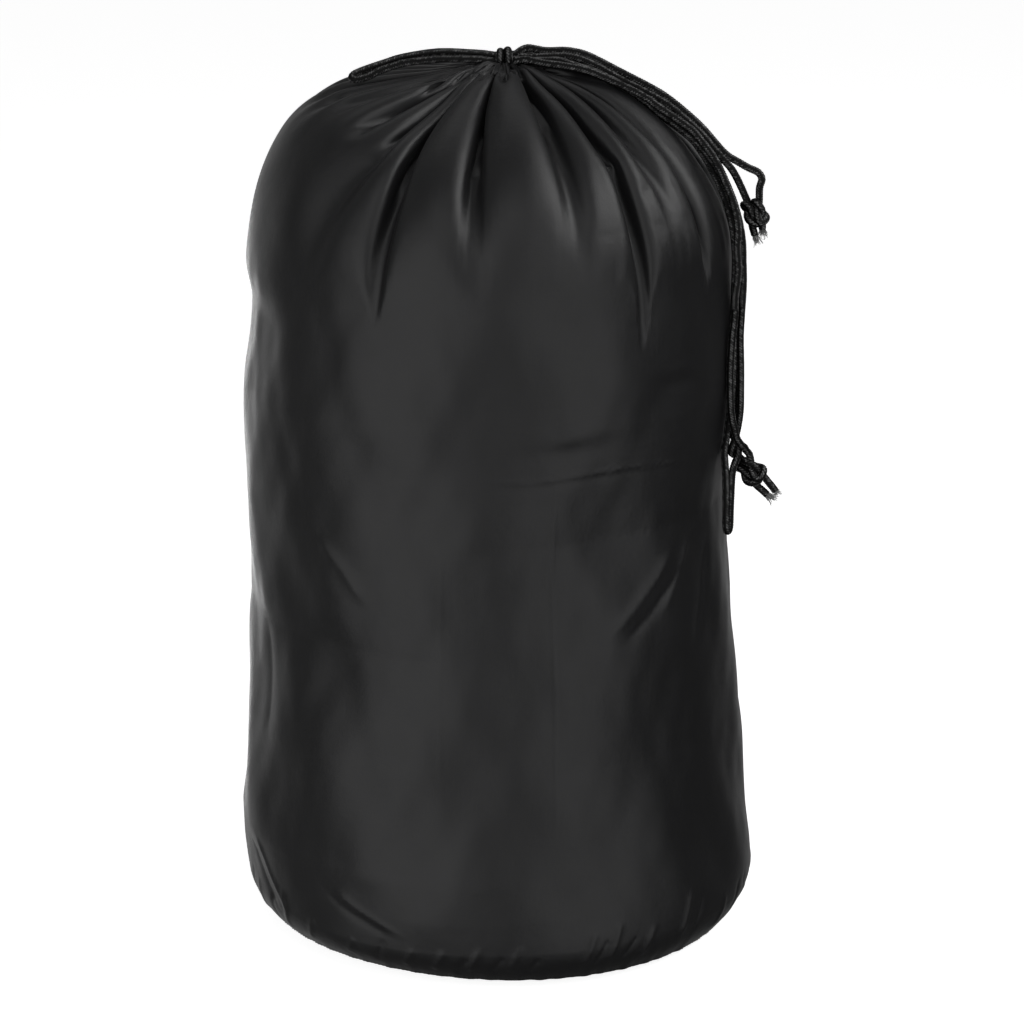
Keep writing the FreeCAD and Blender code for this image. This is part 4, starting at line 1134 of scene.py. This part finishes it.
def braided_tube(path):
    """(points, painted braid highlight, centre line, tangents) of one cord."""
    along = lengths_along(path)
    count = max(int(round(along[-1] / BRAID_RING)), 3)
    at = np.linspace(0, along[-1], count + 1)
    centre = resample(at, along, path)
    for _ in range(3):
        centre = averaged(centre)
    tangent = np.gradient(centre, axis=0)
    tangent /= np.linalg.norm(tangent, axis=1)[:, None]
    side = np.zeros_like(centre)
    side[0] = unit(np.cross(tangent[0], [0.3, 0.2, 1.0]))
    for i in range(1, len(centre)):
        side[i] = unit(side[i - 1] - tangent[i] * (side[i - 1] @ tangent[i]))
    other = np.cross(tangent, side)

    # two sets of carriers wind opposite ways and pass over and under each other in twos
    turn = np.arange(BRAID_SIDES) / BRAID_SIDES * 2 * math.pi
    right = CARRIERS * (turn[None, :] / (2 * math.pi) + at[:, None] / BRAID_PITCH)
    left = CARRIERS * (turn[None, :] / (2 * math.pi) - at[:, None] / BRAID_PITCH) + 400
    right_index, left_index = np.floor(right), np.floor(left)
    right_arch = np.sin(math.pi * (right - right_index))
    left_arch = np.sin(math.pi * (left - left_index))
    over = (right_index + left_index) % 4 < 2
    height = np.where(over, right_arch * (0.85 + 0.15 * left_arch),
                      left_arch * (0.85 + 0.15 * right_arch)) ** 1.2
    radius = CORD_RADIUS - BRAID_RELIEF * 0.75 + BRAID_RELIEF * height
    points = centre[:, None] + radius[..., None] * (
        np.cos(turn)[None, :, None] * side[:, None] + np.sin(turn)[None, :, None] * other[:, None])
    # painted highlight on the braid crowns, of a pseudo-random strength for each crossing and
    # dimmer where a strand passes under
    shade = np.abs(np.sin(right_index * 12.9898 + left_index * 78.233) * 43758.5453) % 1.0
    painted_highlight = height * np.where(over, 0.40 + 0.60 * shade, 0.22)
    return points.reshape(-1, 3), painted_highlight.ravel(), centre, tangent


def cord(name, paths, *replaced):
    """Braided cord along each path, with low end caps; one mesh."""
    vertices, heights, faces, caps = [], [], [], []
    base = 0
    for path in paths:
        points, painted_highlight, centre, tangent = braided_tube(path)
        cap = CORD_RADIUS * 0.12
        vertices += [points, (centre[0] - tangent[0] * cap)[None],
                     (centre[-1] + tangent[-1] * cap)[None]]
        # painted highlight values for the ring points, then a weaker one for the two cap tips
        heights += [painted_highlight, [0.3, 0.3]]
        faces += (grid_faces(len(centre), BRAID_SIDES) + base).tolist()
        tip = base + len(points)
        last_ring = tip - BRAID_SIDES
        for j in range(BRAID_SIDES):
            k = (j + 1) % BRAID_SIDES
            caps.append((tip, base + k, base + j))
            caps.append((tip + 1, last_ring + j, last_ring + k))
        base = tip + 2
    ob = make(name, np.concatenate(vertices), faces + caps, CORD)
    put_painted_highlight(ob, np.concatenate(heights))
    register(ob, "braided_cord", *replaced)
    return ob


def split_falling(path, *levels):
    """Cut a falling path at its first point under each level."""
    pieces, start = [], 0
    for level in levels:
        cut = next(i for i in range(len(path))
                   if i > 8 and path[i, 2] < level and path[i, 0] > 0.06)
        pieces.append(path[start:cut + 1])
        start = cut
    return pieces + [path[start:]]


def around(joint, half):
    """Blend ends above and below a joint's pivot."""
    pivot = next(j for j in frame["joints"] if j["name"] == joint)["pos_m"]
    return dict(start=(pivot[0], pivot[1], pivot[2] + half),
                end=(pivot[0], pivot[1], pivot[2] - half))


a1_crown, a1_tail = split_falling(tail_a1, 0.5685)
a2_crown, a2_tail = split_falling(tail_a2, 0.5640)
b1_crown, b1_upper, b1_lower = split_falling(tail_b1, 0.530, 0.460)
b2_crown, b2_upper, b2_lower = split_falling(tail_b2, 0.530, 0.460)
lowest = int(np.argmin(right_loop[:, 2]))
loop1_crown, loop1_upper, loop1_lower = split_falling(right_loop[:lowest + 1], 0.530, 0.455)
loop2_crown, loop2_upper, loop2_lower = split_falling(right_loop[lowest:][::-1], 0.530, 0.455)
lower_loop = np.concatenate([loop1_lower, loop2_lower[::-1][1:]])

# (name, paths, replaced pieces, the two bodies, where one hands over to the other)
CORD_PIECES = [
    ("cord_a_crown", [a1_crown, a2_crown], ["tail_a_over_crown", "bow_right_strands"],
     ("upper", "mouth"), THROAT_SPAN),
    ("cord_b_crown", [b1_crown, b2_crown], ["tail_b_over_crown"],
     ("upper", "mouth"), THROAT_SPAN),
    ("cord_loop_crown", [loop1_crown, loop2_crown], ["bow_loop_right_over_crown"],
     ("upper", "mouth"), THROAT_SPAN),
    ("cord_a_tail", [a1_tail, a2_tail], ["tail_a_strands", "tail_a_knot"],
     ("upper", "tail_a"), around("tail_a_swing", 0.012)),
    ("cord_b_upper", [b1_upper, b2_upper], ["tail_b_upper_strands"],
     ("upper", "tail_b_upper"), around("tail_b_upper_swing", 0.014)),
    ("cord_b_lower", [b1_lower, b2_lower], ["tail_b_lower_strands", "tail_b_knot"],
     ("tail_b_upper", "tail_b_lower"), around("tail_b_lower_sway", 0.014)),
    ("cord_loop_upper", [loop1_upper, loop2_upper], ["bow_loop_right_upper"],
     ("upper", "loop_right_upper"), around("loop_right_upper_swing", 0.014)),
    ("cord_loop_lower", [lower_loop], ["bow_loop_right_lower"],
     ("loop_right_upper", "loop_right_lower"), around("loop_right_lower_swing", 0.014)),
    ("bow_loop_cord", [left_loop], ["bow_loop_left"],
     ("mouth", "bow_loop_left"), dict(start=(-0.002, 0, 0.6225), end=(-0.014, 0, 0.6225))),
]
for name, piece_paths, replaced, bodies, span in CORD_PIECES:
    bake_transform(cord(name, piece_paths, *replaced))


def bow_wrap():
    """About two and a half widening turns over the strands, then the free end."""
    line = []
    for i, angle in enumerate(np.radians(np.linspace(-790, 165, 120))[:114]):
        radius = 4.3 + 2.4 * i / 119
        line.append((3.2 + 3.3 * math.sin(7.9 * i / 119 + 0.6), -radius * math.sin(angle),
                     622.9 + radius * math.cos(angle)))
    return cord("bow_wrap", [curve(line + WRAP_END, 0.0015)], "bow_knot")


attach(bow_wrap(), "mouth")


# ------------------------------------------------------------------ frayed ends
def fray(tip, direction, count, seed, length, spread, base):
    """Vertices and faces of loose filaments, numbered from base."""
    rings, sides = 6, 5
    rng = np.random.RandomState(seed)
    direction = unit(direction)
    side = unit(np.cross(direction, [0.2, 1.0, 0.1]))
    other = np.cross(direction, side)
    vertices, faces = [], []
    for _ in range(count):
        turn = rng.uniform(0, 2 * math.pi)
        out = math.sqrt(rng.uniform(0, 1))
        sideways = (math.cos(turn) * side + math.sin(turn) * other) * out
        root = tip + sideways * CORD_RADIUS * 0.8 - direction * 0.001
        splay = sideways * spread + rng.normal(0, 0.08, 3)
        reach = length * rng.uniform(0.55, 1.0)
        bend = rng.normal(0, 0.10, 3)
        faces += capped_tube_faces(base + len(vertices), rings, sides)
        for i in range(rings):
            t = i / (rings - 1)
            centre = (root + direction * reach * t + splay * reach * t * t
                      + bend * reach * t * t * t)
            radius = 0.00034 * (1 - 0.45 * t)
            for j in range(sides):
                turn = j * 2 * math.pi / sides
                vertices.append(centre + radius * (math.cos(turn) * side
                                                   + math.sin(turn) * other))
    return vertices, faces


# (name, body it rides, piece it replaces, tips as (path, filaments, seed, length, spread))
FRAYS = [
    ("cord_a_fray", "tail_a", "tail_a_ends",
     [(a1_tail, 34, 1, 0.0075, 0.35), (a2_tail, 34, 2, 0.0085, 0.3)]),
    ("cord_b_fray", "tail_b_lower", "tail_b_ends",
     [(b1_lower, 40, 3, 0.0045, 0.25), (b2_lower, 40, 4, 0.0085, 0.45)]),
]
for name, rides, replaced, tips in FRAYS:
    vertices, faces = [], []
    for path, count, seed, length, spread in tips:
        more_vertices, more_faces = fray(path[-1], path[-1] - path[-4], count, seed, length,
                                         spread, base=len(vertices))
        vertices += more_vertices
        faces += more_faces
    frayed = make(name, vertices, faces, CORD)
    # the loose filaments carry a strong painted highlight all over
    put_painted_highlight(frayed, np.full(len(vertices), 0.9))
    register(frayed, "braided_cord", replaced)
    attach(frayed, rides)


# ------------------------------------------------------------------ floor
def build_floor():
    half, z = 9, -0.0006
    mesh = bpy.data.meshes.new("floor")
    mesh.from_pydata([(-half, -half, z), (half, -half, z), (half, half, z), (-half, half, z)],
                     [], [(0, 1, 2, 3)])
    ob = bpy.data.objects.new("floor", mesh)
    scene.collection.objects.link(ob)
    material, _, shader = new_material("pale_floor")
    shader.inputs["Base Color"].default_value = (0.86, 0.86, 0.86, 1)
    shader.inputs["Roughness"].default_value = 0.9
    shader.inputs["Emission Color"].default_value = (1, 1, 1, 1)
    shader.inputs["Emission Strength"].default_value = 0.88
    mesh.materials.append(material)
    ob.visible_glossy = False
    ob.visible_diffuse = False
    return ob


floor = build_floor()


# ------------------------------------------------------------------ world and lights
def build_world():
    """Near white to the camera; to the sack, dim with a low glow behind it."""
    world = bpy.data.worlds.new("studio")
    scene.world = world
    world.use_nodes = True
    tree = world.node_tree
    background = tree.nodes["Background"]
    coords = tree.nodes.new("ShaderNodeTexCoord")
    split = tree.nodes.new("ShaderNodeSeparateXYZ")
    tree.links.new(coords.outputs["Generated"], split.inputs[0])
    x, y, z = split.outputs[0], split.outputs[1], split.outputs[2]
    behind = remap(tree, scaled(tree, x, gain=-0.22, base=y), source=(0.58, 1.0))
    low = remap(tree, z, source=(-0.20, 0.22), target=(1.0, 0.0))
    glow = calc(tree, "MULTIPLY", calc(tree, "MULTIPLY", behind, low), 0.7)
    ambient = calc(tree, "ADD", glow, scaled(tree, x, gain=-0.035, base=0.074))
    to_camera = tree.nodes.new("ShaderNodeLightPath").outputs["Is Camera Ray"]
    seen = calc(tree, "MULTIPLY", to_camera, 0.95)
    unseen = calc(tree, "MULTIPLY", calc(tree, "SUBTRACT", 1.0, to_camera), ambient)
    colour(tree, background.inputs["Color"], calc(tree, "ADD", seen, unseen))
    background.inputs["Strength"].default_value = 1.0


# (name, azimuth in degrees, distance, z, width, height, radiance, z it aims at); rims first
PANELS = [
    ("rim_left", 108, 1.5, -0.10, 0.52, 0.62, 4.2, -0.10),
    ("rim_right", 84, 1.5, -0.12, 0.30, 0.45, 3.4, -0.12),
    ("key_left", -127, 2.2, 0.2, 2.90, 3.6, 0.84, 0.2),
    ("key_right", -50, 2.2, 0.2, 2.0, 3.6, 0.74, 0.2),
    ("top_right", -4, 1.5, 1.75, 1.6, 1.2, 2.6, 0.5),
    ("top_left", 165, 1.6, 1.6, 1.2, 0.9, 0.10, 0.5),
    ("top_front", -98, 1.3, 2.0, 1.5, 0.8, 0.90, 0.5),
    ("top_back", 92, 0.8, 2.1, 1.5, 0.8, 0.55, 0.5),
]


def panel(name, azimuth, distance, z, width, height, radiance, aim_z):
    angle = math.radians(azimuth)
    light = bpy.data.lights.new(name, "AREA")
    light.shape, light.size, light.size_y = "RECTANGLE", width, height
    light.energy = radiance * math.pi * width * height
    ob = bpy.data.objects.new(name, light)
    scene.collection.objects.link(ob)
    ob.location = (distance * math.cos(angle), distance * math.sin(angle), z)
    ob.rotation_euler = (Vector((0, 0, aim_z)) - ob.location).to_track_quat("-Z", "Y").to_euler()
    ob.visible_camera = False
    return ob


build_world()
lights = [panel(*row) for row in PANELS]
# the rim lights stand low behind the sack and don't light the floor
receivers = bpy.data.collections.new("rim_receivers")
receivers.objects.link(floor)
receivers.collection_objects[0].light_linking.link_state = "EXCLUDE"
for rim in lights[:2]:
    rim.light_linking.receiver_collection = receivers

# ------------------------------------------------------------------ camera
CAMERA_PLACE = (0.0085, -3.06, 1.2456)
CAMERA_DIP = 17.25           # degrees below level
camera_data = bpy.data.cameras.new("camera")
camera_data.sensor_width = 36.0
camera_data.lens = 158.203125
camera = bpy.data.objects.new("camera", camera_data)
scene.collection.objects.link(camera)
camera.location = CAMERA_PLACE
camera.rotation_euler = (math.radians(90 - CAMERA_DIP), 0, 0)
scene.camera = camera
scene.view_settings.view_transform = "Standard"

bpy.context.view_layer.update()
